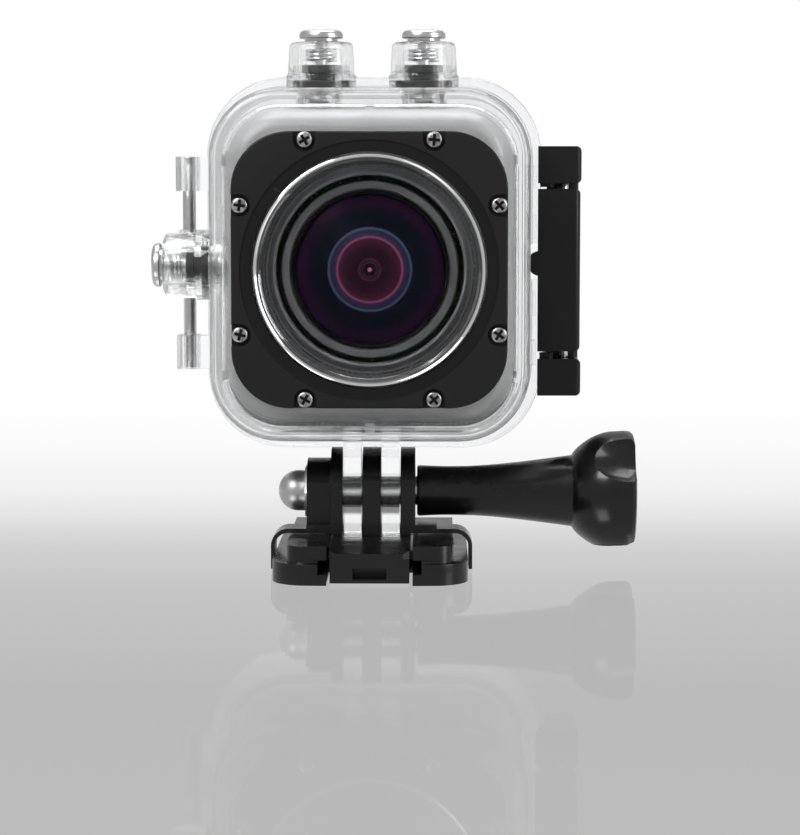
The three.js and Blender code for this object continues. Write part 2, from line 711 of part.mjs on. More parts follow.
addPiece('adhesive_base', 'black', adhesiveBase());
addPiece('adhesive_pad', 'foam', box(-PAD.half, PAD.half, PAD.front, PAD.back, 0, PAD.thick));
addPiece('quick_release_buckle', 'black', buckle());
addPiece('dome_nut', 'chrome', domeNut());
addPiece('thumbscrew_knob', 'black', thumbscrewKnob());
addPiece('thumbscrew_bolt', 'steel', rod('x', BOLT_R, -12.6, 13.7, [0, 0, BOLT_Z]));

addPiece('front_shell', 'clear', frontShell());
addPiece('port_plate', 'satin', portPlate());
addPiece('port_glass', 'clear', rod('y', GLASS.r, GLASS.front, GLASS.back, [0, 0, PORT_Z], PORT_SIDES));
addPiece('port_gasket', 'rubber', ring('y', [[16.2, -17.1], [17.1, -17.1], [17.1, -18.7], [16.2, -18.7]],
  [0, 0, PORT_Z], PORT_SIDES));
addPiece('port_trim_ring', 'chrome', ring('y', [[17.35, -18.3], [18, -18.3], [18, -20.1], [17.8, -20.3],
  [17.6, -20.25], [16.75, -19.15], [16.75, -18.9], [17.35, -18.9]], [0, 0, PORT_Z], PORT_SIDES));
screwPoints().forEach(({ x, z }, i) => {
  const screw = addPiece(`port_screw_${i + 1}`, 'steel', portScrew());
  screw.position.set(x, 0, PORT_Z + z);
  screw.rotation.y = i * 0.7;
});
addPiece('hinge_pin', 'steel', rod('z', HINGE.r, HINGE.low, HINGE.high, [HINGE.x, HINGE.y, 0]));

for (const station of STATIONS) {
  const unit = new THREE.Group();
  unit.position.set(...station.move);
  unit.rotation.y = THREE.MathUtils.degToRad(station.turn);
  group.add(unit);
  addPiece(`plunger_${station.name}`, 'chrome', plunger(), unit);
  addPiece(`plunger_seal_${station.name}`, 'rubber', plungerSeal(), unit);
  addPiece(`gland_ring_${station.name}`, 'rubber', glandRing(), unit);
  addPiece(`return_spring_${station.name}`, 'steel', returnSpring(), unit);
  addPiece(`camera_button_${station.name}`, 'steel', cameraButton(), unit);
}

addPiece('rear_door', 'clear', doorPanel());
addPiece('door_gasket', 'silicone', doorGasket());
addPiece('latch_hinge_pin', 'steel', rod('z', LATCH.pinR, 30.2, 66.4, [LATCH.x, LATCH.y, 0], 16));
addPiece('latch_bracket', 'satin', latchBracket());
addPiece('lever_pin', 'steel',
  rod('z', LEVER.pinR, LATCH.low + 2.3, LATCH.high - 2.3, [LEVER.x, LEVER.y, 0], 16));
addPiece('latch_lever', 'satin', latchLever());

addPiece('camera_front_cover', 'silver', cameraFront());
addPiece('camera_rear_cover', 'textured', cameraRear());
addPiece('display_panel', 'lens',
  slab(roundedRect(-15.9, 15.9, 38.3, 62.1, 0.8), 16, CAMERA.back - 0.05));
addPiece('lens_bezel', 'satin', lensBezel());
addPiece('lens_barrel', 'satin', lensBarrel());
addPiece('lens_retaining_ring', 'black', retainingRing());
addPiece('front_lens', 'lens', domeLens(11.6, -14.6, -16.9, -12.4, 36));
addPiece('inner_lens', 'lens', domeLens(6.6, -9.6, -10.6, -7.5, 24));
addPiece('sensor_board', 'board', box(-12, 12, 2.4, 3.6, 37, 61));
addPiece('main_board', 'board', box(-18.5, 18.5, 5.2, 6.4, 30, 68.5));
addPiece('battery', 'black', box(-15, 15, 7, 13, 31, 62));
addPiece('memory_card', 'black', box(-7, 8, 13.4, 14.3, 44, 55));
addPiece('speaker', 'black', rod('y', 5, 7, 10.5, [0, 0, 67.5], FINE));

export default group;
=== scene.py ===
"""An action camera in a clear waterproof housing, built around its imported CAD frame.

Shapes are worked out in millimetres in the frame's axes (+X thumbscrew side, +Y back, +Z up)
and scaled to metres when a mesh is made. Places come from the CAD nodes' boxes.
"""

import math
import random

import bmesh
import bpy
from mathutils import Matrix, Vector


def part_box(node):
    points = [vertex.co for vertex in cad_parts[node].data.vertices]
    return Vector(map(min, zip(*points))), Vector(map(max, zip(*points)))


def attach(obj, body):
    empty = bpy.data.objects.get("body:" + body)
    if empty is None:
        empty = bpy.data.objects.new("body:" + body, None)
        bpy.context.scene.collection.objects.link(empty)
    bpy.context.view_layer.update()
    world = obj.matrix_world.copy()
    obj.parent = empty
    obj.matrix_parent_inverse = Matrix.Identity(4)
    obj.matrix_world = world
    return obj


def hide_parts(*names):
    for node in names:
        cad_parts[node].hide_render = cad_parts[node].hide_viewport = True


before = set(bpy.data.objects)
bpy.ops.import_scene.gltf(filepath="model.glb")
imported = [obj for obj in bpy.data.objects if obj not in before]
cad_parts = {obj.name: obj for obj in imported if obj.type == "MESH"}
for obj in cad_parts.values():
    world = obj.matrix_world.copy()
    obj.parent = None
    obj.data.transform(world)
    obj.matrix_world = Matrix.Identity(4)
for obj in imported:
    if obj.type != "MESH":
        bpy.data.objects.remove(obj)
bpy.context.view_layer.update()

MM = 0.001
TAU = 2 * math.pi
ROUND = 96  # sides of a large circle
FINE = 48  # sides of a small circle
CORNER_STEPS = 12
# How far an edge of a slab is rounded: inset and depth.
SHARP = (0.05, 0.05)
CRISP = (0.1, 0.1)
SOFT = (0.5, 0.5)
random.seed(7)


# ---- Places from the CAD ----


def box_mm(node):
    low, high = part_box(node)
    return low / MM, high / MM


def middle(node):
    low, high = box_mm(node)
    return (low + high) / 2


PORT = middle("port_glass")
BOLT_Z = middle("thumbscrew_bolt").z
SHELL_LOW, _ = box_mm("front_shell")
PLATE_LOW, PLATE_HIGH = box_mm("port_plate")
DOOR_LOW, DOOR_HIGH = box_mm("rear_door")
CAMERA_LOW, CAMERA_HIGH = box_mm("camera_front_cover")
BODY_LOW, BODY_HIGH = box_mm("camera_rear_cover")
HINGE = middle("hinge_pin")
HINGE_LOW, HINGE_HIGH = (v.z for v in box_mm("hinge_pin"))
LATCH_PIN = middle("latch_hinge_pin")
LEVER_PIN = middle("lever_pin")
BRACKET_LOW, BRACKET_HIGH = box_mm("latch_bracket")
LEVER_LOW, LEVER_HIGH = box_mm("latch_lever")
BASE_LOW, BASE_HIGH = box_mm("adhesive_base")

WALL_FACE = 9.95  # from a plunger's cap to the housing wall that it stands on


def station(name):
    """Where a plunger unit stands: its axis frame has +Z outwards and 0 at the wall."""
    low, high = box_mm(f"plunger_{name}")
    centre = (low + high) / 2
    if name == "side":
        turn = Matrix.Rotation(-math.pi / 2, 4, "Y")
        return Matrix.Translation((low.x + WALL_FACE, centre.y, centre.z)) @ turn
    return Matrix.Translation((centre.x, centre.y, high.z - WALL_FACE))


STATIONS = {name: station(name) for name in ("top_left", "top_right", "side")}


# ---- Mesh building ----


def to_object(bm, name="tool"):
    bmesh.ops.remove_doubles(bm, verts=bm.verts, dist=1e-5)
    bmesh.ops.recalc_face_normals(bm, faces=bm.faces)
    mesh = bpy.data.meshes.new(name)
    bm.to_mesh(mesh)
    bm.free()
    obj = bpy.data.objects.new(name, mesh)
    bpy.context.scene.collection.objects.link(obj)
    return obj


def loft(loops):
    """A closed solid through loops of equally many points, with flat ends."""
    bm = bmesh.new()
    rows = [[bm.verts.new(p) for p in loop] for loop in loops]
    count = len(rows[0])
    for lower, upper in zip(rows, rows[1:]):
        for i in range(count):
            j = (i + 1) % count
            bm.faces.new((lower[i], lower[j], upper[j], upper[i]))
    bm.faces.new(rows[0])
    bm.faces.new(rows[-1])
    return to_object(bm)


PLANES = {
    "x": lambda u, v, at: (at, u, v),
    "y": lambda u, v, at: (u, at, v),
    "z": lambda u, v, at: (u, v, at),
}


def prism(outline, axis, low, high):
    """Extrudes an outline along an axis. The outline is (y, z), (x, z) or (x, y)."""
    place = PLANES[axis]
    return loft([[place(u, v, at) for u, v in outline] for at in (low, high)])


def block(x0, x1, y0, y1, z0, z1):
    return prism([(x0, y0), (x1, y0), (x1, y1), (x0, y1)], "z", z0, z1)


def arc(cx, cy, radius, start, end, steps=CORNER_STEPS):
    """Points along an arc, with its angles in degrees."""
    angles = [math.radians(start + (end - start) * i / steps) for i in range(steps + 1)]
    return [(cx + radius * math.cos(a), cy + radius * math.sin(a)) for a in angles]


def rounded(x0, x1, z0, z1, radius, steps=CORNER_STEPS):
    return (
        arc(x1 - radius, z0 + radius, radius, -90, 0, steps)
        + arc(x1 - radius, z1 - radius, radius, 0, 90, steps)
        + arc(x0 + radius, z1 - radius, radius, 90, 180, steps)
        + arc(x0 + radius, z0 + radius, radius, 180, 270, steps)
    )


def soft_slab(rect, front, back, front_round, back_round, steps=6):
    """A rounded plate along Y. rect is (x0, x1, z0, z1, corner); each round is (inset, depth)."""
    x0, x1, z0, z1, corner = rect
    stations = []
    for (inset, depth), at, way in ((front_round, front, 1), (back_round, back, -1)):
        part = []
        for i in range(steps + 1):
            angle = math.pi / 2 * i / steps
            part.append((inset * (1 - math.sin(angle)), at + way * depth * (1 - math.cos(angle))))
        stations += part if way > 0 else part[::-1]
    loops = []
    for inset, y in stations:
        outline = rounded(x0 + inset, x1 - inset, z0 + inset, z1 - inset, corner - inset)
        loops.append([(u, y, v) for u, v in outline])
    return loft(loops)


def turned(points, axis, centre=(0, 0, 0), sides=ROUND, closed=False):
    """A turned solid from [radius, station] points. closed makes a ring of them."""
    bm = bmesh.new()
    place = PLANES[axis]
    rows = []
    for radius, at in points:
        if radius < 1e-6:
            rows.append([bm.verts.new(Vector(place(0, 0, at)) + Vector(centre))] * sides)
            continue
        row = []
        for i in range(sides):
            a = TAU * i / sides
            spot = Vector(place(radius * math.cos(a), radius * math.sin(a), at))
            row.append(bm.verts.new(spot + Vector(centre)))
        rows.append(row)
    pairs = list(zip(rows, rows[1:]))
    if closed:
        pairs.append((rows[-1], rows[0]))
    for lower, upper in pairs:
        for i in range(sides):
            j = (i + 1) % sides
            corners = list(dict.fromkeys((lower[i], lower[j], upper[j], upper[i])))
            if len(corners) > 2:
                bm.faces.new(corners)
    return to_object(bm)


def rod(axis, radius, low, high, centre=(0, 0, 0), sides=FINE, edge=0.0):
    """A round rod. edge rounds its two ends."""
    if edge:
        points = [(0, low), (radius - edge, low), (radius - 0.3 * edge, low + 0.3 * edge)]
        points += [(radius, low + edge), (radius, high - edge)]
        points += [(radius - 0.3 * edge, high - 0.3 * edge), (radius - edge, high), (0, high)]
    else:
        points = [(0, low), (radius, low), (radius, high), (0, high)]
    flat = {"x": (0, centre[1], centre[2]), "y": (centre[0], 0, centre[2])}
    spot = flat.get(axis, (centre[0], centre[1], 0))
    return turned(points, axis, spot, sides)


def apply_modifiers(obj):
    graph = bpy.context.evaluated_depsgraph_get()
    mesh = bpy.data.meshes.new_from_object(obj.evaluated_get(graph))
    obj.modifiers.clear()
    obj.data = mesh
    return obj


def boolean(obj, tools, operation):
    for tool in tools:
        modifier = obj.modifiers.new(operation, "BOOLEAN")
        modifier.operation = operation
        modifier.solver = "EXACT"
        modifier.object = tool
    bpy.context.view_layer.update()
    apply_modifiers(obj)
    for tool in tools:
        bpy.data.objects.remove(tool)
    return obj


def join(obj, *tools):
    return boolean(obj, tools, "UNION")


def cut(obj, *tools):
    return boolean(obj, tools, "DIFFERENCE")


def common(obj, *tools):
    return boolean(obj, tools, "INTERSECT")


def round_edges(obj, width, segments=3, angle=32):
    """Rounds the sharp edges, so that they catch the light."""
    modifier = obj.modifiers.new("edges", "BEVEL")
    modifier.width = width
    modifier.segments = segments
    modifier.limit_method = "ANGLE"
    modifier.angle_limit = math.radians(angle)
    modifier.use_clamp_overlap = True
    bpy.context.view_layer.update()
    return apply_modifiers(obj)


def finish_piece(obj, name, body, material, replaced=None, smooth=35):
    """Scales a finished piece to metres, shades it and puts it on its CAD body."""
    obj.name = name
    obj.data.transform(Matrix.Scale(MM, 4))
    obj.data.shade_smooth()
    obj.data.set_sharp_from_angle(angle=math.radians(smooth))
    obj.data.materials.clear()
    obj.data.materials.append(material)
    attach(obj, body)
    if replaced:
        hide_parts(replaced)
    return obj


# ---- Materials ----


class Nodes:
    """A small helper around one material's node tree."""

    def __init__(self, name):
        self.material = bpy.data.materials.new(name)
        self.material.use_nodes = True
        self.tree = self.material.node_tree
        self.shader = self.tree.nodes["Principled BSDF"]
        self.place = self.tree.nodes.new("ShaderNodeTexCoord").outputs["Object"]

    def add(self, kind, **values):
        node = self.tree.nodes.new(kind)
        for key, value in values.items():
            if key in node.inputs:
                node.inputs[key].default_value = value
            else:
                setattr(node, key, value)
        return node

    def link(self, source, target):
        self.tree.links.new(source, target)

    def noise(self, scale, detail=4.0):
        node = self.add("ShaderNodeTexNoise", Scale=scale, Detail=detail)
        self.link(self.place, node.inputs["Vector"])
        return node.outputs["Fac"]

    def ramp(self, source, stops):
        node = self.add("ShaderNodeValToRGB")
        elements = node.color_ramp.elements
        while len(elements) < len(stops):
            elements.new(0.5)
        for element, (at, colour) in zip(elements, stops):
            element.position = at
            element.color = (*colour, 1) if len(colour) == 3 else colour
        self.link(source, node.inputs["Fac"])
        return node.outputs["Color"]

    def vary(self, socket, scale, stops, detail=4.0):
        """Drives one of the shader's sockets from noise."""
        self.link(self.ramp(self.noise(scale, detail), stops), self.shader.inputs[socket])

    def bump(self, source, strength, distance):
        node = self.add("ShaderNodeBump", Strength=strength, Distance=distance)
        self.link(source, node.inputs["Height"])
        self.link(node.outputs["Normal"], self.shader.inputs["Normal"])

    def set(self, **values):
        for key, value in values.items():
            self.shader.inputs[key.replace("_", " ")].default_value = value


def grey(value):
    return (value, value, value)


def moulded(name, colour, rough, grain=1800.0, bump=0.08, coat=0.0, spread=0.06, shine=0.5):
    """Moulded plastic or rubber: fine grain, with slow changes of tone and gloss."""
    n = Nodes(name)
    dark = tuple(c * 0.85 for c in colour)
    light = tuple(c * 1.15 for c in colour)
    n.vary("Base Color", 90.0, [(0.3, dark), (0.7, light)])
    n.vary("Roughness", 260.0, [(0.3, grey(rough - spread)), (0.7, grey(rough + spread))])
    n.bump(n.noise(grain, 2.0), bump, 0.00003)
    n.set(Coat_Weight=coat, Coat_Roughness=0.08, Specular_IOR_Level=shine)
    return n.material


def metal(name, colour, rough, streak=0.03, scale=600.0):
    """Turned or polished metal with faint wear in its gloss."""
    n = Nodes(name)
    n.set(Metallic=1.0)
    dull = tuple(c * 0.94 for c in colour)
    n.vary("Base Color", scale, [(0.3, dull), (0.7, colour)])
    n.vary("Roughness", scale * 2, [(0.35, grey(rough)), (0.7, grey(rough + streak))])
    n.bump(n.noise(2500.0, 2.0), 0.02, 0.00002)
    return n.material


def screw_metal():
    """Bright screw heads, with painted shade in their cross recesses."""
    face, recess = -19.62, -19.42
    first, second, result = 6, 7, 2  # the mix node's colour sockets
    n = Nodes("screw_metal")
    n.set(Metallic=1.0, Roughness=0.34)
    parts = n.add("ShaderNodeSeparateXYZ")
    n.link(n.place, parts.inputs["Vector"])
    # Painted shade: the colour darkens to near black with depth, from the head's face back into the
    # cross recess and the pocket.
    depth = n.add("ShaderNodeMapRange")
    n.link(parts.outputs["Y"], depth.inputs["Value"])
    depth.inputs["From Min"].default_value = face * MM
    depth.inputs["From Max"].default_value = recess * MM
    mottle = n.ramp(n.noise(1500.0), [(0.35, grey(0.22)), (0.65, grey(0.52))])
    mixed = n.add("ShaderNodeMix", data_type="RGBA")
    n.link(depth.outputs["Result"], mixed.inputs["Factor"])
    n.link(mottle, mixed.inputs[first])
    mixed.inputs[second].default_value = (0.02, 0.02, 0.02, 1)
    n.link(mixed.outputs[result], n.shader.inputs["Base Color"])
    return n.material


def clear(name, colour, rough, ior, solid=1.0):
    """Clear plastic or glass, with faint handling marks in its gloss."""
    n = Nodes(name)
    n.set(Transmission_Weight=1.0, IOR=ior, Alpha=solid)
    tint = tuple(c * 0.985 for c in colour)
    n.vary("Base Color", 40.0, [(0.3, tint), (0.7, colour)])
    n.vary("Roughness", 700.0, [(0.55, grey(rough)), (0.8, grey(rough + 0.05))], 6.0)
    n.bump(n.noise(160.0, 2.0), 0.03, 0.00005)
    return n.material


def painted_silver():
    """Satin silver paint: an even coat with a very fine fleck."""
    n = Nodes("silver_paint")
    n.set(Metallic=0.25)
    n.vary("Base Color", 5200.0, [(0.35, grey(0.37)), (0.65, grey(0.41))], 2.0)
    n.vary("Roughness", 900.0, [(0.3, grey(0.40)), (0.7, grey(0.46))])
    return n.material


def textured_body():
    """Dark grey moulding with a coarse spark-eroded texture."""
    n = Nodes("textured_body")
    specks = [(0.38, grey(0.035)), (0.55, grey(0.11)), (0.72, grey(0.30))]
    n.vary("Base Color", 2400.0, specks, 3.0)
    n.set(Roughness=0.55)
    n.bump(n.noise(2400.0, 3.0), 0.4, 0.00006)
    return n.material


def silicone():
    """Translucent silicone."""
    n = Nodes("clear_silicone")
    n.set(Transmission_Weight=0.7, IOR=1.4)
    n.vary("Base Color", 120.0, [(0.3, grey(0.80)), (0.7, grey(0.86))])
    n.vary("Roughness", 500.0, [(0.3, grey(0.35)), (0.7, grey(0.42))])
    return n.material


def plate_plastic():
    """Satin black, with painted shade: darker in the recessed ring beside the port."""
    n = Nodes("plate_plastic")
    inner, outer = 19.6, 20.4
    reach = 32.0
    # Painted shade: the base colour is darker inside the recessed ring than on the rest of the
    # plate.
    stops = [(inner / reach, grey(0.004)), (outer / reach, grey(0.009))]
    n.link(n.ramp(radial_share(n, reach), stops), n.shader.inputs["Base Color"])
    n.vary("Roughness", 260.0, [(0.3, grey(0.40)), (0.7, grey(0.48))])
    n.set(Specular_IOR_Level=0.2)
    n.bump(n.noise(2600.0, 2.0), 0.08, 0.00003)
    return n.material


LENS_RADIUS = 11.6
# Radius in mm, and the painted colour there, from the centre out: painted reflections of the
# coatings and inner elements over painted shade of the dark interior.
LENS_REFLECTION_RINGS = [
    (0.0, (0.26, 0.08, 0.14)), (0.25, (0.26, 0.08, 0.14)), (0.4, (0.005, 0.003, 0.005)),
    (0.95, (0.005, 0.003, 0.005)), (1.15, (0.035, 0.014, 0.025)), (1.35, (0.007, 0.003, 0.005)),
    (1.65, (0.04, 0.012, 0.024)), (1.95, (0.009, 0.003, 0.006)), (3.6, (0.017, 0.004, 0.010)),
    (4.8, (0.035, 0.007, 0.019)), (5.05, (0.15, 0.04, 0.08)), (5.35, (0.025, 0.013, 0.03)),
    (6.1, (0.010, 0.013, 0.03)), (6.4, (0.04, 0.055, 0.095)), (6.7, (0.002, 0.003, 0.006)),
    (9.0, (0.0015, 0.0025, 0.006)), (10.4, (0.012, 0.0025, 0.013)), (11.6, (0.008, 0.002, 0.010)),
]


def radial_share(n, radius):
    """A socket that runs from 0 on the lens axis to 1 at a radius in mm."""
    offset = n.add("ShaderNodeVectorMath", operation="SUBTRACT")
    n.link(n.place, offset.inputs[0])
    offset.inputs[1].default_value = (PORT.x * MM, 0, PORT.z * MM)
    flat = n.add("ShaderNodeVectorMath", operation="MULTIPLY")
    n.link(offset.outputs["Vector"], flat.inputs[0])
    flat.inputs[1].default_value = (1, 0, 1)
    length = n.add("ShaderNodeVectorMath", operation="LENGTH")
    n.link(flat.outputs["Vector"], length.inputs[0])
    share = n.add("ShaderNodeMath", operation="DIVIDE")
    n.link(length.outputs["Value"], share.inputs[0])
    share.inputs[1].default_value = radius * MM
    return share.outputs["Value"]


def painted_lens_reflections():
    """Lens glass with painted reflections: rings of colour about the optical axis, laid into the
    base colour in place of the reflections of its coatings and inner elements.
    """
    n = Nodes("painted_lens_reflections")
    stops = [(radius / LENS_RADIUS, colour) for radius, colour in LENS_REFLECTION_RINGS]
    # Painted reflections: the rings of colour are laid into the base colour by radius.
    n.link(n.ramp(radial_share(n, LENS_RADIUS), stops), n.shader.inputs["Base Color"])
    n.set(Roughness=0.25, Specular_IOR_Level=0.03)
    return n.material


def trim_metal():
    """A polished ring with painted shade on its inner bevel."""
    n = Nodes("trim_metal")
    bevel, lip, reach = 17.35, 17.6, 20.0
    # Painted shade: the base colour is dark on the inner bevel, which faces the dark lens, and
    # bright on the lip.
    stops = [(bevel / reach, grey(0.13)), (lip / reach, grey(0.86))]
    n.link(n.ramp(radial_share(n, reach), stops), n.shader.inputs["Base Color"])
    n.vary("Roughness", 1200.0, [(0.35, grey(0.06)), (0.7, grey(0.10))])
    n.set(Metallic=1.0)
    return n.material


def circuit_board():
    """Green solder mask with small pale pads."""
    n = Nodes("solder_mask")
    cells = n.add("ShaderNodeTexVoronoi", Scale=900.0)
    n.link(n.place, cells.inputs["Vector"])
    pads = n.ramp(cells.outputs["Distance"], [(0.12, (0.6, 0.5, 0.3)), (0.2, (0.02, 0.16, 0.07))])
    n.link(pads, n.shader.inputs["Base Color"])
    n.set(Roughness=0.45)
    return n.material


GLOSS_BLACK = moulded("moulded_black", grey(0.005), 0.24, bump=0.04, coat=0.12, shine=0.32)
SATIN_BLACK = moulded("satin_black", grey(0.006), 0.36, grain=2600.0, bump=0.08, shine=0.3)
LATCH_BLACK = moulded("latch_black", grey(0.006), 0.34, grain=2600.0, bump=0.08, shine=0.26)
RUBBER = moulded("silicone_rubber", grey(0.008), 0.7, grain=1400.0, bump=0.15)
GASKET_GREY = moulded("gasket_grey", grey(0.05), 0.6, grain=1400.0, bump=0.1, shine=0.2)
FOAM = moulded("foam_tape", (0.42, 0.03, 0.03), 0.8, grain=900.0, bump=0.3)
CHROME = trim_metal()
CAP_METAL = metal("satin_chrome", grey(0.62), 0.27)
DOME_METAL = metal("drawn_steel", grey(0.5), 0.34, 0.08)
SCREW_METAL = screw_metal()
STEEL = metal("bright_steel", grey(0.62), 0.18, 0.08)
BUTTON_STEEL = metal("button_steel", grey(0.5), 0.25, 0.08)
CLEAR = clear("clear_polycarbonate", (0.95, 0.96, 0.965), 0.015, 1.45, 0.75)
GLASS = clear("port_glass_coated", (0.96, 0.97, 0.99), 0.0, 1.07)
SILVER = painted_silver()
TEXTURED = textured_body()
SILICONE = silicone()
PLATE_BLACK = plate_plastic()
LENS = painted_lens_reflections()
BOARD = circuit_board()
DARK_GLOSS = moulded("gloss_dark", grey(0.006), 0.12, bump=0.02, coat=0.6)
BEZEL_GREY = moulded("bezel_grey", grey(0.12), 0.55, bump=0.04, shine=0.2)
BARREL_GREY = moulded("barrel_grey", grey(0.075), 0.5, bump=0.04, shine=0.15)
MATTE_BLACK = moulded("matte_black", grey(0.002), 0.8, bump=0.02, shine=0.1)


# ---- Mount ----

FINGER_HALF = 1.5
FINGER_PITCH = 6.15
FORK_R = 7.1
BOLT_HOLE = 2.8


def mirrored(points):
    """Closes an outline with its own mirror image across X = 0."""
    return points + [(-x, y) for x, y in reversed(points)]


def base_outline():
    half, front, back = BASE_HIGH.x, BASE_LOW.y, BASE_HIGH.y
    shoulder = 6.1
    side = arc(half - shoulder, front + shoulder, shoulder, -75, 0, 12)
    side += arc(half - 5.5, back - 6, 5.5, 0, 62, 8)
    return mirrored([(7.5, front)] + side + [(9.2, back)])


def adhesive_base():
    foot_top, floor_top, rail_top = 3.3, 1.7, BASE_HIGH.z
    body = prism(base_outline(), "z", 0, foot_top)
    rail_front, rail_back = -20.2, 15
    slot_half, slot_back, throat = 6.7, 12.6, -8.6
    groove_half, groove_top = 8.1, 3.7
    recess_half, recess_front, recess_top = 13.7, -8.1, 1.1
    for side in (-1, 1):
        outline = [(slot_half, rail_front), (10.7, rail_front)]
        outline += arc(10.25, -17.3, 2.9, -75, 0, 8)
        outline += [(13.15, rail_back), (slot_half, rail_back)]
        join(body, prism([(side * x, y) for x, y in outline], "z", foot_top - 1, rail_top))
    cut(
        body,
        block(-slot_half, slot_half, BASE_LOW.y - 1, throat, -1, rail_top + 1),
        block(-slot_half, slot_half, throat - 1, slot_back, floor_top, rail_top + 1),
        block(-groove_half, groove_half, BASE_LOW.y - 1, slot_back, floor_top, groove_top),
        block(-recess_half, recess_half, recess_front, recess_half, -1, recess_top),
    )
    round_edges(body, 0.22)
    finish_piece(body, "base_moulding", "base", GLOSS_BLACK, "adhesive_base")


def finger(x0, x1, low):
    outline = [(-FORK_R, low), (FORK_R, low)] + arc(0, BOLT_Z, FORK_R, 0, 180, 28)
    return prism(outline, "x", x0, x1)


def hexagon(across_flats):
    """The radius of a hexagon's corners."""
    return across_flats / 2 / math.cos(math.pi / 6)


def buckle_arm(side):
    """A sprung arm: out over the rail, round the corner and down beside the foot."""
    inner, outer, under, over = 15.6, 16.2, 6.2, 6.9
    root, tip = 10, 0.4
    bend = 2.2
    outer_bend = bend + outer - inner
    outline = [(root, under)] + arc(inner - bend, under - bend, bend, 90, 0, 12)
    outline += [(inner, tip), (outer, tip)]
    outline += arc(outer - outer_bend, over - outer_bend, outer_bend, 0, 90, 14)
    outline.append((root, over))
    return prism([(side * x, z) for x, z in outline], "y", -7, -1)


def buckle():
    low, _ = box_mm("quick_release_buckle")
    front, back, half, top, tongue_top = low.y, 12, 6.2, 5.3, 5.8
    deck = 6.2  # underside of the fork
    bolt_axis = (0, 0, BOLT_Z)
    boss_r, boss_outer, boss_inner = 5.35, -10.5, -6.7
    body = block(-half, half, front, -9, 0.3, tongue_top)
    parts = [
        block(-half, half, -9.5, back, 2, top),
        block(-7.7, 7.7, -7.5, back, 2, 3.3),
        block(-10.5, 10.5, -7.1, -2, deck, 7.5),
        rod("x", boss_r, boss_outer, boss_inner, bolt_axis, ROUND),
        block(boss_outer, boss_inner, -boss_r, boss_r, deck, BOLT_Z),
        buckle_arm(-1),
        buckle_arm(1),
    ]
    for x0, x1 in ((-6.6, -4.6), (-1.5, 1.5), (4.6, 7.0)):
        parts.append(finger(x0, x1, deck))
        parts.append(block(max(x0, -half), min(x1, half), -FORK_R, FORK_R, 4.8, 6.4))
    join(body, *parts)
    # The tongue's top edge and its two front corners are chamfered.
    slope = [(front - 1, 4.4), (front + 1.6, 5.81), (front + 1.6, 7), (front - 1, 7)]
    window_half, window_low, window_high = 2.65, 0.85, 2.65
    tools = [
        block(-window_half, window_half, front - 1, front + 4, window_low, window_high),
        rod("x", BOLT_HOLE, -12, 12, bolt_axis),
        rod("x", hexagon(8.6), -12, -7, bolt_axis, 6),
        prism(slope, "x", -8, 8),
    ]
    for side in (-1, 1):
        outline = [(side * 5.2, front - 0.01), (side * 7, front - 0.01), (side * 7, front + 1.2)]
        tools.append(prism(outline, "z", 4.2, 7))
        centre = side * FINGER_PITCH / 2
        slot = (FINGER_PITCH - 2 * FINGER_HALF) / 2
        tools.append(block(centre - slot, centre + slot, -8.6, 8.6, 3.9, 30))
    cut(body, *tools)
    round_edges(body, 0.2)
    finish_piece(
        body, "buckle_moulding", "buckle", GLOSS_BLACK, "quick_release_buckle"
    )


def dome_nut():
    nut = rod("x", hexagon(8), -10.9, -7.3, (0, 0, BOLT_Z), 6)
    radius, height, tip, shoulder, root = 3.3, 3.2, -15.3, -12.1, -10.6
    steps = 12
    dome = [(0, tip)]
    for i in range(1, steps + 1):
        angle = math.pi / 2 * i / steps
        dome.append((radius * math.sin(angle), shoulder - height * math.cos(angle)))
    dome += [(radius, root), (0, root)]
    join(nut, turned(dome, "x", (0, 0, BOLT_Z), FINE))
    cut(nut, rod("x", 2.7, -13, -7, (0, 0, BOLT_Z)))
    round_edges(nut, 0.12, 2)
    finish_piece(nut, "dome_nut_turned", "buckle", DOME_METAL, "dome_nut")


def thumbscrew():
    start, head, end = 7.3, 32.4, 42.5
    neck, lead = 4.15, 0.3
    profile = [(0, start), (3.9, start), (neck, start + lead)]
    steps = 20
    for i in range(1, steps + 1):
        t = i / steps
        waist = 0.5 * math.sin(math.pi * t) * (1 - t)
        profile.append((neck - waist + 1.65 * t * t, start + lead + t * (head - start - lead)))
    flare = 10
    for i in range(1, flare + 1):
        t = i / flare
        profile.append((5.8 + 3.9 * math.sin(math.pi / 2 * t) ** 0.9, head + 7.2 * t ** 1.15))
    profile += [(9.78, 40.8), (9.7, 41.8), (9.3, 42.3), (8.8, end)]
    profile += [(7.2, end), (6.6, end - 0.6), (0, end - 0.7)]
    body = turned(profile, "x", (0, 0, BOLT_Z), 120)
    scoops = [rod("x", BOLT_HOLE, start - 1, 14, (0, 0, BOLT_Z))]
    width, length, offset = 6.5, 10.5, 13.7
    half_turn = [math.pi * k / 24 for k in range(25)]
    ellipse = [(width * math.sin(a), -length * math.cos(a)) for a in half_turn]
    for degrees in (20, 140, 260):
        angle = math.radians(degrees)
        scoop = turned(ellipse, "x", sides=64)
        away = Vector((end, offset * math.cos(angle), BOLT_Z + offset * math.sin(angle)))
        scoop.data.transform(Matrix.Translation(away))
        scoops.append(scoop)
    cut(body, *scoops)
    round_edges(body, 0.3, 4, 25)
    finish_piece(
        body, "thumbscrew_handle", "thumbscrew", GLOSS_BLACK, "thumbscrew_knob", 40
    )


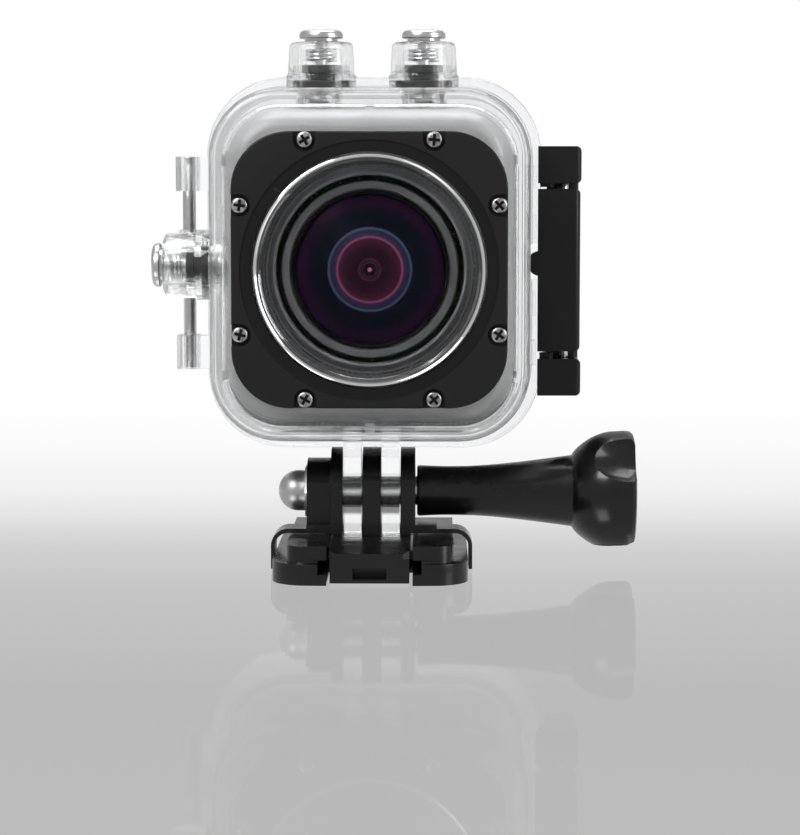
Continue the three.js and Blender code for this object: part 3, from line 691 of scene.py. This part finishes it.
def bolt():
    """The M5 bolt, with a rolled thread that shows between the fingers."""
    low, high = -12.6, 13.7
    pitch, crest, root = 0.8, 2.5, 2.28
    profile = [(0, low), (root - 0.3, low), (root, low + 0.4)]
    at = low + 0.4 + pitch / 2
    while at < high - pitch:
        profile += [(crest, at), (root, at + pitch / 2)]
        at += pitch
    profile += [(root, high), (0, high)]
    body = turned(profile, "x", (0, 0, BOLT_Z), FINE)
    finish_piece(body, "bolt_threaded", "thumbscrew", STEEL, "thumbscrew_bolt", 60)


# ---- Housing ----

SHELL_RECT = (-25, 25, 22, 77, 11)
STEP_RECT = (-26.3, 26.3, 20.5, 78.2, 11.8)
FLANGE_RECT = (-27.9, 27.9, DOOR_LOW.z, DOOR_HIGH.z, 13)
CAVITY_RECT = (-23.1, 23.1, 23.35, 74.45, 9)
FLANGE_BACK = 16.7
GAP = 0.3
HINGE_BORE = 1.3
LUG_R = 1.85
KNUCKLE = (43.6, 54.4)  # the door's middle knuckle on the hinge
SCREW_HOLE = 0.95

# Plunger units: radius and height above the wall, in mm.
GLAND_BORE = [
    (0, -4.5), (3.65, -4.5), (3.65, -0.05),  # room for the plunger's foot
    (1.3, -0.05), (1.3, 0.4),  # shaft
    (4.7, 0.4), (4.7, 1.65),  # O-ring
    (2.65, 1.65), (2.65, 2.75),  # seal
    (3.25, 2.75), (3.25, 7.35),  # spring
    (3.85, 7.35), (3.85, 9), (0, 9),  # mouth for the cap
]
PLUNGER_FOOT = [
    (0, -2.43), (2.0, -2.43), (2.14, -2.38), (2.2, -2.25), (2.2, -1.8), (3.18, -1.8),
    (3.3, -1.68), (3.3, -1.2), (3.22, -0.98), (3.05, -0.78), (2.75, -0.6), (2.3, -0.44),
    (1.7, -0.34), (1, -0.3),
]
PLUNGER_CAP = [
    (1, 7.95), (2.55, 7.95), (2.65, 8.05), (2.65, 8.5), (3.42, 8.5), (3.52, 8.62), (3.52, 9.0),
    (3.48, 9.25), (3.36, 9.5), (3.12, 9.7), (2.7, 9.83), (1.8, 9.91), (0, 9.95),
]
SHAFT_SEAL = [
    (1.25, 0.75), (2.2, 0.75), (2.2, 1.8), (2.55, 1.85), (2.55, 2.85), (3.0, 2.85), (3.12, 2.95),
    (3.15, 3.1), (3.15, 3.85), (3.1, 4.05), (2.95, 4.15), (1.25, 4.15),
]
O_RING = [
    (3.4, 0.65), (3.5, 0.52), (3.65, 0.48), (4.35, 0.48), (4.52, 0.54), (4.6, 0.68),
    (4.6, 1.37), (4.52, 1.5), (4.35, 1.57), (3.65, 1.57), (3.5, 1.53), (3.4, 1.4),
]
CAMERA_BUTTON = [
    (0, -5.9), (3.1, -5.9), (3.1, -5.4), (2.4, -5.4), (2.4, -3.05), (2.3, -2.85),
    (2.1, -2.75), (0, -2.75),
]


def inset(rect, amount):
    x0, x1, z0, z1, corner = rect
    return (x0 + amount, x1 - amount, z0 + amount, z1 - amount, corner - amount)


def gland(name):
    collar = [(0, -1.6), (5.65, -1.6), (5.65, 2.5), (5.6, 2.62), (5.45, 2.7), (5.4, 2.7)]
    radius, top, corner = 5.15, 7.9, 0.8
    tube = arc(radius - corner, 7.1, corner, 0, 90, 8) + [(0, top)]
    body = turned(collar + tube, "z")
    body.data.transform(STATIONS[name])
    return body


def gland_bore(name):
    bore = turned(GLAND_BORE, "z")
    bore.data.transform(STATIONS[name])
    return bore


def screw_points():
    """Each port screw's place about the lens axis, and the way that its pocket opens."""
    near, far = 10, 20.05
    points = []
    for a in (-1, 1):
        for b in (-1, 1):
            points.append((a * near, b * far, 0, b))
            points.append((a * far, b * near, a, 0))
    return points


def mount_fingers():
    low = FORK_R + 0.8
    outline = [(9, 22.5), (-9, 22.5), (-low, BOLT_Z + 2)] + arc(0, BOLT_Z, low, 180, 360, 28)
    outline.append((low, BOLT_Z + 2))
    half = (FINGER_PITCH - 2 * FINGER_HALF) / 2 - GAP / 2
    return [
        prism(outline, "x", side * FINGER_PITCH / 2 - half, side * FINGER_PITCH / 2 + half)
        for side in (-1, 1)
    ]


def locating_ribs():
    """Small ribs inside the front wall, which keep the camera from moving."""
    inside = SHELL_LOW.y + 1.6
    ribs = []
    for low, high in ((73.4, 74.7), (23.1, 25.2)):
        ribs.append(block(-0.75, 0.75, inside, -14.6, low, high))
    for low, high in ((64.9, 66.7), (31.2, 33.1)):
        for x0, x1 in ((-23.3, -21.8), (21.8, 23.3)):
            ribs.append(block(x0, x1, inside, -14.3, low, high))
    return ribs


def front_shell():
    wall_front = SHELL_LOW.y
    wall = 1.7
    lower_lug_top, upper_lug_bottom = 36.7, 60.9
    shell = soft_slab(SHELL_RECT, wall_front, 13, (1.3, 1.3), CRISP)
    parts = [
        soft_slab(STEP_RECT, 9, 15, SOFT, SHARP),
        soft_slab(FLANGE_RECT, 14, FLANGE_BACK, SOFT, (0.25, 0.25)),
    ]
    for low, high in ((HINGE_LOW, lower_lug_top), (upper_lug_bottom, HINGE_HIGH)):
        parts.append(rod("z", LUG_R, low, high, HINGE, FINE))
        parts.append(block(HINGE.x - LUG_R, -26.4, 14.2, FLANGE_BACK, low, high))
        parts.append(block(HINGE.x - LUG_R, HINGE.x + 0.9, FLANGE_BACK - 0.2, HINGE.y, low, high))
    for low, high in ((61.3, 65.2), (53.4, 57.3), (41.1, 45), (33.2, 37.1)):
        parts.append(block(24, 26.3, -6, -1.5, low, high))
    parts += mount_fingers()
    parts += [gland(name) for name in STATIONS]
    join(shell, *parts)
    cavity = soft_slab(CAVITY_RECT, wall_front + wall, 20, (0.9, 0.9), SHARP)
    cut(cavity, *locating_ribs())
    outside, seat, inside = wall_front - 1, wall_front + 1.1, wall_front + 3
    hole_r, seat_r = 15.8, 17.3
    port = [(0, outside), (seat_r, outside), (seat_r, seat)]
    port += [(hole_r, seat), (hole_r, inside), (0, inside)]
    tools = [
        cavity,
        turned(port, "y", (PORT.x, 0, PORT.z), 144),
        rod("z", HINGE_BORE, HINGE_LOW - 1, HINGE_HIGH + 1, HINGE),
        block(25, 30, 1.5, FLANGE_BACK + 1, 46.2, 52.2),
        rod("x", BOLT_HOLE, -6, 6, (0, 0, BOLT_Z)),
    ]
    tools += [gland_bore(name) for name in STATIONS]
    for x, z, _, _ in screw_points():
        spot = (PORT.x + x, 0, PORT.z + z)
        tools.append(rod("y", SCREW_HOLE, outside, wall_front + 1.35, spot, 24))
    cut(shell, *tools)
    round_edges(shell, 0.12, 2)
    finish_piece(shell, "shell_moulding", "housing", CLEAR, "front_shell", 40)


POCKET_FLOOR = -18.95


def port_plate():
    half = PLATE_HIGH.x
    rect = (-half, half, PLATE_LOW.z, PLATE_HIGH.z, 9)
    front, back = PLATE_LOW.y, PLATE_HIGH.y
    plate = soft_slab(rect, front, back, (0.35, 0.35), CRISP)
    hole_r, step_r, step_depth = 18.3, 20.1, 0.25
    pocket_r, reach = 1.72, 4
    tools = [
        rod("y", hole_r, front - 1, back + 1, PORT, 144),
        rod("y", step_r, front - 1, front + step_depth, PORT, 144),
    ]
    for x, z, open_x, open_z in screw_points():
        facing = math.degrees(math.atan2(open_z, open_x))
        pocket = arc(x, z, pocket_r, facing + 90, facing + 270, 20)
        ends = (pocket[-1], pocket[0])
        pocket += [(u + open_x * reach, v + open_z * reach) for u, v in ends]
        outline = [(PORT.x + u, PORT.z + v) for u, v in pocket]
        tools.append(prism(outline, "y", front - 1, POCKET_FLOOR))
        spot = (PORT.x + x, 0, PORT.z + z)
        tools.append(rod("y", SCREW_HOLE, front, back + 1, spot, 24))
    cut(plate, *tools)
    round_edges(plate, 0.1, 2)
    finish_piece(
        plate, "port_plate_moulding", "housing", PLATE_BLACK, "port_plate"
    )


def port_screws():
    front, seat, tip = -19.85, POCKET_FLOOR - 0.25, -16.95
    head_r, shank_r = 1.3, 0.65
    reach, half, depth = 0.9, 0.24, 0.45
    profile = [
        (0, front), (0.6, front + 0.01), (1.0, front + 0.07), (1.2, front + 0.18),
        (head_r, front + 0.36), (head_r, seat), (shank_r, seat), (shank_r, tip), (0, tip),
    ]
    for number, (x, z, _, _) in enumerate(screw_points(), 1):
        head = turned(profile, "y", sides=FINE)
        bars = []
        for u, v in ((reach, half), (half, reach)):
            outline = [(-u, -v), (u, -v), (u, v), (-u, v)]
            bars.append(prism(outline, "y", front - 1, front + depth))
        cut(head, join(*bars))
        turn = Matrix.Rotation(random.uniform(0, math.pi / 2), 4, "Y")
        head.data.transform(Matrix.Translation((PORT.x + x, 0, PORT.z + z)) @ turn)
        title, node = f"cross_head_screw_{number}", f"port_screw_{number}"
        finish_piece(head, title, "housing", SCREW_METAL, node)


def port_rings():
    section = [
        (17.35, -18.3), (18, -18.3), (18, -20.05), (17.92, -20.24), (17.78, -20.3),
        (17.62, -20.24), (17.2, -19.75), (16.75, -19.15), (16.75, -18.9), (17.35, -18.9),
    ]
    trim = turned(section, "y", (PORT.x, 0, PORT.z), 180, closed=True)
    finish_piece(
        trim, "trim_ring_polished", "housing", CHROME, "port_trim_ring", 30
    )

    teeth, crest, root = 110, 16.2, 16.34
    outline = []
    for i in range(teeth):
        for k, radius in enumerate((crest, crest, root, root)):
            angle = TAU * (i + k / 4) / teeth
            outline.append((PORT.x + radius * math.cos(angle), PORT.z + radius * math.sin(angle)))
    low, high = box_mm("port_gasket")
    gasket = rod("y", 17.1, low.y, high.y, PORT, 180)
    cut(gasket, prism(outline, "y", low.y - 1, high.y + 1))
    finish_piece(
        gasket, "knurled_gasket", "housing", GASKET_GREY, "port_gasket", 30
    )

    low, high = box_mm("port_glass")
    glass = rod("y", 16.1, low.y, high.y, PORT, 180, edge=0.15)
    finish_piece(glass, "port_window", "housing", GLASS, "port_glass", 30)


def hinge_pins():
    for node, radius, body, centre in (
        ("hinge_pin", 1.1, "housing", HINGE),
        ("latch_hinge_pin", 0.85, "rear_door", LATCH_PIN),
        ("lever_pin", 0.8, "latch_bracket", LEVER_PIN),
    ):
        low, high = box_mm(node)
        pin = rod("z", radius, low.z, high.z, centre, FINE, edge=0.15)
        finish_piece(pin, f"{node}_turned", body, STEEL, node)


# ---- Plunger units ----


def coil(radius, wire, low, high, turns, sides=10, per_turn=36):
    """A closed round wire along a helix about Z."""
    loops = []
    count = int(turns * per_turn)
    for i in range(count + 1):
        t = i / count
        angle = TAU * turns * t
        out = Vector((math.cos(angle), math.sin(angle), 0))
        centre = out * radius + Vector((0, 0, low + (high - low) * t))
        loop = []
        for k in range(sides):
            around = TAU * k / sides
            loop.append(centre + (out * math.cos(around) + Vector((0, 0, math.sin(around)))) * wire)
        loops.append(loop)
    return loft(loops)


def plunger_units():
    for name, where in STATIONS.items():
        unit, key = f"plunger_{name}", f"button_{name}"
        plunger = turned(PLUNGER_FOOT + PLUNGER_CAP, "z", sides=FINE * 2)
        seal = turned(SHAFT_SEAL, "z", closed=True)
        ring = turned(O_RING, "z", closed=True)
        spring = coil(2.3, 0.24, 4.75, 6.65, 3)
        button = turned(CAMERA_BUTTON, "z", sides=FINE)
        for obj, title, body, material, slot, node in (
            (plunger, f"{unit}_turned", unit, CAP_METAL, "bright_chrome", unit),
            (seal, f"shaft_seal_{name}", "housing", RUBBER, "black_rubber", f"plunger_seal_{name}"),
            (ring, f"o_ring_{name}", "housing", RUBBER, "black_rubber", f"gland_ring_{name}"),
            (spring, f"coil_{name}", "housing", STEEL, "steel", f"return_spring_{name}"),
            (button, f"{key}_cap", key, BUTTON_STEEL, "steel", f"camera_{key}"),
        ):
            obj.data.transform(where)
            finish_piece(obj, title, body, material, node, 30)


# ---- Door and latch ----

SEAT_RECT = (-25.3, 25.3, 21.3, 76.7, 10.4)  # the door gasket's seat and the land inside it
LAND_RECT = (-23.4, 23.4, 23.1, 74.9, 8.6)
LATCH_LUGS = ((30.2, 35.8), (60.8, 66.4))
LATCH_KNUCKLE = (40, 57)
LATCH_LUG_R = 1.95
LATCH_BORE = 1.15
LEVER_BORE = 1.1
LATCH_CORNER = 0.9

def rear_door():
    front, plate_back, rim_back = DOOR_LOW.y, 20, 21
    door = soft_slab(FLANGE_RECT, front, plate_back, (0.25, 0.25), (0.8, 0.8))
    rim = soft_slab(inset(FLANGE_RECT, 1.9), plate_back - 0.5, rim_back, SHARP, SOFT)
    cut(rim, soft_slab(inset(FLANGE_RECT, 3.9), plate_back, rim_back + 1, SHARP, SHARP))
    parts = [
        rim,
        rod("z", LUG_R, *KNUCKLE, HINGE),
        block(HINGE.x, -26.9, front + 0.1, plate_back, *KNUCKLE),
    ]
    for low, high in LATCH_LUGS:
        parts.append(rod("z", LATCH_LUG_R, low, high, LATCH_PIN))
        parts.append(block(26.9, LATCH_PIN.x, front + 0.2, plate_back, low, high))
    join(door, *parts)
    seat = soft_slab(SEAT_RECT, front - 1, front + 1, SHARP, SHARP)
    cut(seat, soft_slab(LAND_RECT, front - 3, front + 3, SHARP, SHARP))
    cut(door, seat, rod("z", HINGE_BORE, 40, 60, HINGE), rod("z", LATCH_BORE, 20, 80, LATCH_PIN))
    round_edges(door, 0.12, 2)
    finish_piece(door, "door_moulding", "rear_door", CLEAR, "rear_door", 40)


def door_gasket():
    low, high = box_mm("door_gasket")
    rect = (low.x, high.x, low.z, high.z, 10.1)
    seal = soft_slab(rect, low.y, high.y, (0.15, 0.15), (0.15, 0.15))
    cut(seal, prism(rounded(-23.7, 23.7, 22.8, 75.2, 8.9), "y", low.y - 1, high.y + 1))
    finish_piece(seal, "door_seal", "rear_door", SILICONE, "door_gasket")


SWEEP_R = 60.45  # the latch's inner side follows this circle about the door's hinge


def latch_outline(y0, y1, right):
    """The latch's section: a curved inner side and a rounded front corner."""

    def inner(y):
        return HINGE.x + math.sqrt(SWEEP_R**2 - (y - HINGE.y) ** 2)

    corner, steps = LATCH_CORNER, 8
    points = [(inner(y0), y0)] + arc(right - corner, y0 + corner, corner, -90, 0, 6) + [(right, y1)]
    for i in range(steps):
        y = y1 + (y0 - y1) * i / steps
        points.append((inner(y), y))
    return points


def latch_slab(y0, y1, right, low, high):
    """A slab of the latch whose right-hand corners are rounded as seen from the front."""
    slab = prism(latch_outline(y0, y1, right), "z", low, high)
    corner, left = LATCH_CORNER, 20
    outline = [(left, low)] + arc(right - corner, low + corner, corner, -90, 0, 8)
    outline += arc(right - corner, high - corner, corner, 0, 90, 8) + [(left, high)]
    return common(slab, prism(outline, "y", 0, 25))


def latch():
    front, rear, spine = BRACKET_LOW.y, 16, 10.6
    low, high, cap = BRACKET_LOW.z, BRACKET_HIGH.z, 6
    right = BRACKET_HIGH.x
    shoulder = latch_outline(3.5, spine + 0.2, 29.6)
    bracket = prism(latch_outline(spine, rear, right), "z", low + 1, high - 1)
    join(
        bracket,
        latch_slab(front, rear, right, low, low + cap),
        latch_slab(front, rear, right, high - cap, high),
        # These fill the inner part of the gaps between the caps and the lever.
        prism(shoulder, "z", low + cap - 0.1, LEVER_LOW.z - GAP),
        prism(shoulder, "z", LEVER_HIGH.z + GAP, high - cap + 0.1),
        block(29.9, 33.4, rear - 0.5, LATCH_PIN.y, *LATCH_KNUCKLE),
        rod("z", LATCH_LUG_R, *LATCH_KNUCKLE, LATCH_PIN),
    )
    cut(
        bracket,
        rod("z", LATCH_BORE, 38, 60, LATCH_PIN),
        rod("z", LEVER_BORE, low + 2, high - 2, LEVER_PIN),
    )
    round_edges(bracket, 0.3, 3)
    finish_piece(
        bracket, "latch_frame", "latch_bracket", LATCH_BLACK, "latch_bracket"
    )

    lever = latch_slab(front, 8.5, LEVER_HIGH.x, LEVER_LOW.z, LEVER_HIGH.z)
    cut(lever, rod("z", LEVER_BORE, 20, 80, LEVER_PIN))
    tab = rod("y", 2, front, 4, (27.2, 0, 49.2), FINE)
    common(tab, block(25.45, 28, 0, 5, 40, 60))
    join(lever, tab)
    half_groove = 0.12
    grooves = []
    for z in (47.9, 48.55, 49.2, 49.85, 50.5):
        grooves.append(block(25, 26.2, front - 1, 2.35, z - half_groove, z + half_groove))
    cut(lever, *grooves)
    round_edges(lever, 0.25, 3)
    finish_piece(lever, "lever_moulding", "latch_lever", LATCH_BLACK, "latch_lever")


# ---- Camera ----

CAMERA_RECT = (CAMERA_LOW.x, CAMERA_HIGH.x, CAMERA_LOW.z, CAMERA_HIGH.z, 8.6)
BODY_RECT = (BODY_LOW.x, BODY_HIGH.x, BODY_LOW.z, BODY_HIGH.z, 8.8)


def camera_covers():
    front, split, back = CAMERA_LOW.y, CAMERA_HIGH.y, BODY_HIGH.y
    wall, lens_hole, button_hole = 1.5, 16.5, 2.7
    cover = soft_slab(CAMERA_RECT, front, 6, (3.2, 5.5), CRISP, steps=20)
    cut(
        cover,
        block(-40, 40, split, 20, 0, 100),
        soft_slab(inset(CAMERA_RECT, 3.7), front + wall, split + 2, CRISP, CRISP),
        rod("y", lens_hole, front - 5, split + 5, PORT, 144),
    )
    finish_piece(cover, "camera_face", "housing", SILVER, "camera_front_cover", 50)
    rear = soft_slab(BODY_RECT, split + GAP, back, CRISP, (1.2, 1.2))
    holes = []
    for where in STATIONS.values():
        hole = rod("z", button_hole, -5.2, 0)
        hole.data.transform(where)
        holes.append(hole)
    cut(
        rear,
        soft_slab(inset(BODY_RECT, wall), split - 2, back - wall, CRISP, CRISP),
        prism(rounded(-16.2, 16.2, 38, 62.4, 1), "y", back - 0.8, back + 1),
        *holes,
    )
    finish_piece(rear, "camera_body", "housing", TEXTURED, "camera_rear_cover")


# The lens's turned parts: radius and depth along Y, in mm.
BEZEL = [
    (16.2, -12.5), (16.2, -15.2), (16.0, -15.45), (15.1, -16.55), (14.95, -16.6),
    (14.78, -16.52), (14.7, -16.4), (14.6, -15.8), (14.6, -12.5),
]
BARREL = [
    (3.5, 2), (12.6, 2), (12.6, -11.6), (13.75, -12), (13.75, -15.6), (13.68, -15.8),
    (13.55, -15.9), (12.65, -15.9), (12.55, -15.85), (12.5, -15.75), (12.5, -14.7),
    (12.1, -14.7), (12.1, -11), (6.9, -11), (6.9, -5), (3.5, -5),
]
RETAINER = [
    (11.85, -14.95), (12.25, -14.95), (12.25, -15.5), (12.18, -15.6), (12.05, -15.65),
    (11.85, -15.55),
]


def lens_stack():
    centre = (PORT.x, 0, PORT.z)
    for section, title, material, slot, node in (
        (BEZEL, "lens_cone", BEZEL_GREY, "satin_black", "lens_bezel"),
        (BARREL, "lens_tube", BARREL_GREY, "satin_black", "lens_barrel"),
        (RETAINER, "retaining_ring_turned", MATTE_BLACK, "gloss_dark", "lens_retaining_ring"),
    ):
        ring = turned(section, "y", centre, 144, closed=True)
        finish_piece(ring, title, "housing", material, node, 25)
    for title, node, radius, edge, apex, back in (
        ("front_element", "front_lens", LENS_RADIUS, -14.6, -16.9, -12.4),
        ("inner_element", "inner_lens", 6.6, -9.6, -10.6, -7.5),
    ):
        steps = 16
        profile = [(0, apex)]
        for i in range(1, steps + 1):
            r = radius * i / steps
            profile.append((r, apex + (edge - apex) * (r / radius) ** 2))
        profile += [(radius, back), (0, back)]
        lens = turned(profile, "y", centre, 144)
        finish_piece(lens, title, "housing", LENS, node, 30)


def carried_over():
    """The pad and the parts inside the camera keep their CAD solids and get materials."""
    for node, material in (
        ("adhesive_pad", FOAM),
        ("display_panel", DARK_GLOSS),
        ("sensor_board", BOARD),
        ("main_board", BOARD),
        ("battery", SATIN_BLACK),
        ("memory_card", SATIN_BLACK),
        ("speaker", SATIN_BLACK),
    ):
        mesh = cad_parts[node].data
        mesh.materials.clear()
        mesh.materials.append(material)


# ---- Studio ----

# How far back a floor point is, in metres, with its painted glow and its share of mirror. The glow
# is painted light: the floor shines by itself instead of being lit, dimmer towards the front.
FLOOR_GLOW = [
    (-0.17, 0.51), (-0.107, 0.50), (-0.033, 0.60), (0.019, 0.72), (0.088, 0.86),
    (0.181, 0.96), (0.317, 1.0),
]
FLOOR_MIRROR = [
    (-0.17, 0.05), (-0.107, 0.07), (-0.02, 0.26), (0.02, 0.26), (0.06, 0.08), (0.10, 0.0),
]


def studio_floor():
    bm = bmesh.new()
    corners = [(-3, -1.2), (3, -1.2), (3, 3), (-3, 3)]
    bm.faces.new([bm.verts.new((x, y, -0.00005)) for x, y in corners])
    floor = to_object(bm, "studio_floor")
    if floor.data.polygons[0].normal.z < 0:
        floor.data.flip_normals()
    n = Nodes("pale_floor")
    split = n.add("ShaderNodeSeparateXYZ")
    n.link(n.place, split.inputs[0])
    low, high = FLOOR_GLOW[0][0], FLOOR_GLOW[-1][0]
    share = n.add("ShaderNodeMapRange")
    n.link(split.outputs["Y"], share.inputs["Value"])
    share.inputs["From Min"].default_value = low
    share.inputs["From Max"].default_value = high

    def stops(table):
        return [((at - low) / (high - low), grey(value)) for at, value in table]

    # Painted light: the floor is an emitter, its brightness taken from the painted glow table by
    # distance.
    tone = n.ramp(share.outputs["Result"], stops(FLOOR_GLOW))
    mirror = n.ramp(share.outputs["Result"], stops(FLOOR_MIRROR))
    glow = n.add("ShaderNodeEmission", Strength=1.0)
    n.link(tone, glow.inputs["Color"])
    gloss = n.add("ShaderNodeBsdfGlossy", Roughness=0.03)
    mix = n.add("ShaderNodeMixShader")
    n.link(mirror, mix.inputs["Fac"])
    n.link(glow.outputs["Emission"], mix.inputs[1])
    n.link(gloss.outputs["BSDF"], mix.inputs[2])
    n.link(mix.outputs["Shader"], n.tree.nodes["Material Output"].inputs["Surface"])
    floor.data.materials.append(n.material)


def studio_world():
    """A white surround. What the camera sees directly or through glass is full white."""
    world = bpy.data.worlds.new("studio")
    bpy.context.scene.world = world
    world.use_nodes = True
    tree = world.node_tree
    path = tree.nodes.new("ShaderNodeLightPath")
    seen = tree.nodes.new("ShaderNodeMath")
    seen.operation = "MAXIMUM"
    tree.links.new(path.outputs["Is Camera Ray"], seen.inputs[0])
    tree.links.new(path.outputs["Is Transmission Ray"], seen.inputs[1])
    strength = tree.nodes.new("ShaderNodeMapRange")
    tree.links.new(seen.outputs["Value"], strength.inputs["Value"])
    strength.inputs["To Min"].default_value = 0.5
    strength.inputs["To Max"].default_value = 1.0
    background = tree.nodes["Background"]
    background.inputs["Color"].default_value = (1, 1, 1, 1)
    tree.links.new(strength.outputs["Result"], background.inputs["Strength"])


def area_light(name, place, target, size, power):
    data = bpy.data.lights.new(name, "AREA")
    data.shape = "RECTANGLE"
    data.size, data.size_y = size
    data.energy = power
    light = bpy.data.objects.new(name, data)
    light.location = place
    light.rotation_euler = (Vector(target) - Vector(place)).to_track_quat("-Z", "Y").to_euler()
    bpy.context.scene.collection.objects.link(light)


def studio_lights():
    target = (0, 0, 0.05)
    area_light("key_softbox", (-0.35, -0.45, 0.5), target, (0.3, 0.3), 4.0)
    area_light("fill_softbox", (0.55, -0.3, 0.25), target, (0.25, 0.4), 2.0)
    area_light("top_softbox", (0, 0.15, 0.6), target, (0.5, 0.4), 3.0)


EYE = (0.0097, -0.420, 0.0629)
PITCH_DOWN = 5.26
YAW_LEFT = 0.71
FOCAL_MM = 111.7


def camera():
    data = bpy.data.cameras.new("view")
    data.lens = FOCAL_MM
    data.sensor_width = 36
    data.clip_start = 0.01
    data.clip_end = 20
    obj = bpy.data.objects.new("view", data)
    obj.location = EYE
    obj.rotation_euler = (math.radians(90 - PITCH_DOWN), 0, math.radians(YAW_LEFT))
    bpy.context.scene.collection.objects.link(obj)
    bpy.context.scene.camera = obj


# ---- Everything, in order ----

adhesive_base()
buckle()
dome_nut()
thumbscrew()
bolt()
front_shell()
port_plate()
port_screws()
port_rings()
hinge_pins()
plunger_units()
rear_door()
door_gasket()
latch()
camera_covers()
lens_stack()
carried_over()
studio_floor()
studio_world()
studio_lights()
camera()

scene = bpy.context.scene
scene.view_settings.view_transform = "Standard"
scene.cycles.use_denoising = True
scene.cycles.max_bounces = 24
scene.cycles.transmission_bounces = 20
scene.cycles.transparent_max_bounces = 16
scene.cycles.caustics_refractive = True
scene.cycles.caustics_reflective = False

bpy.context.view_layer.update()
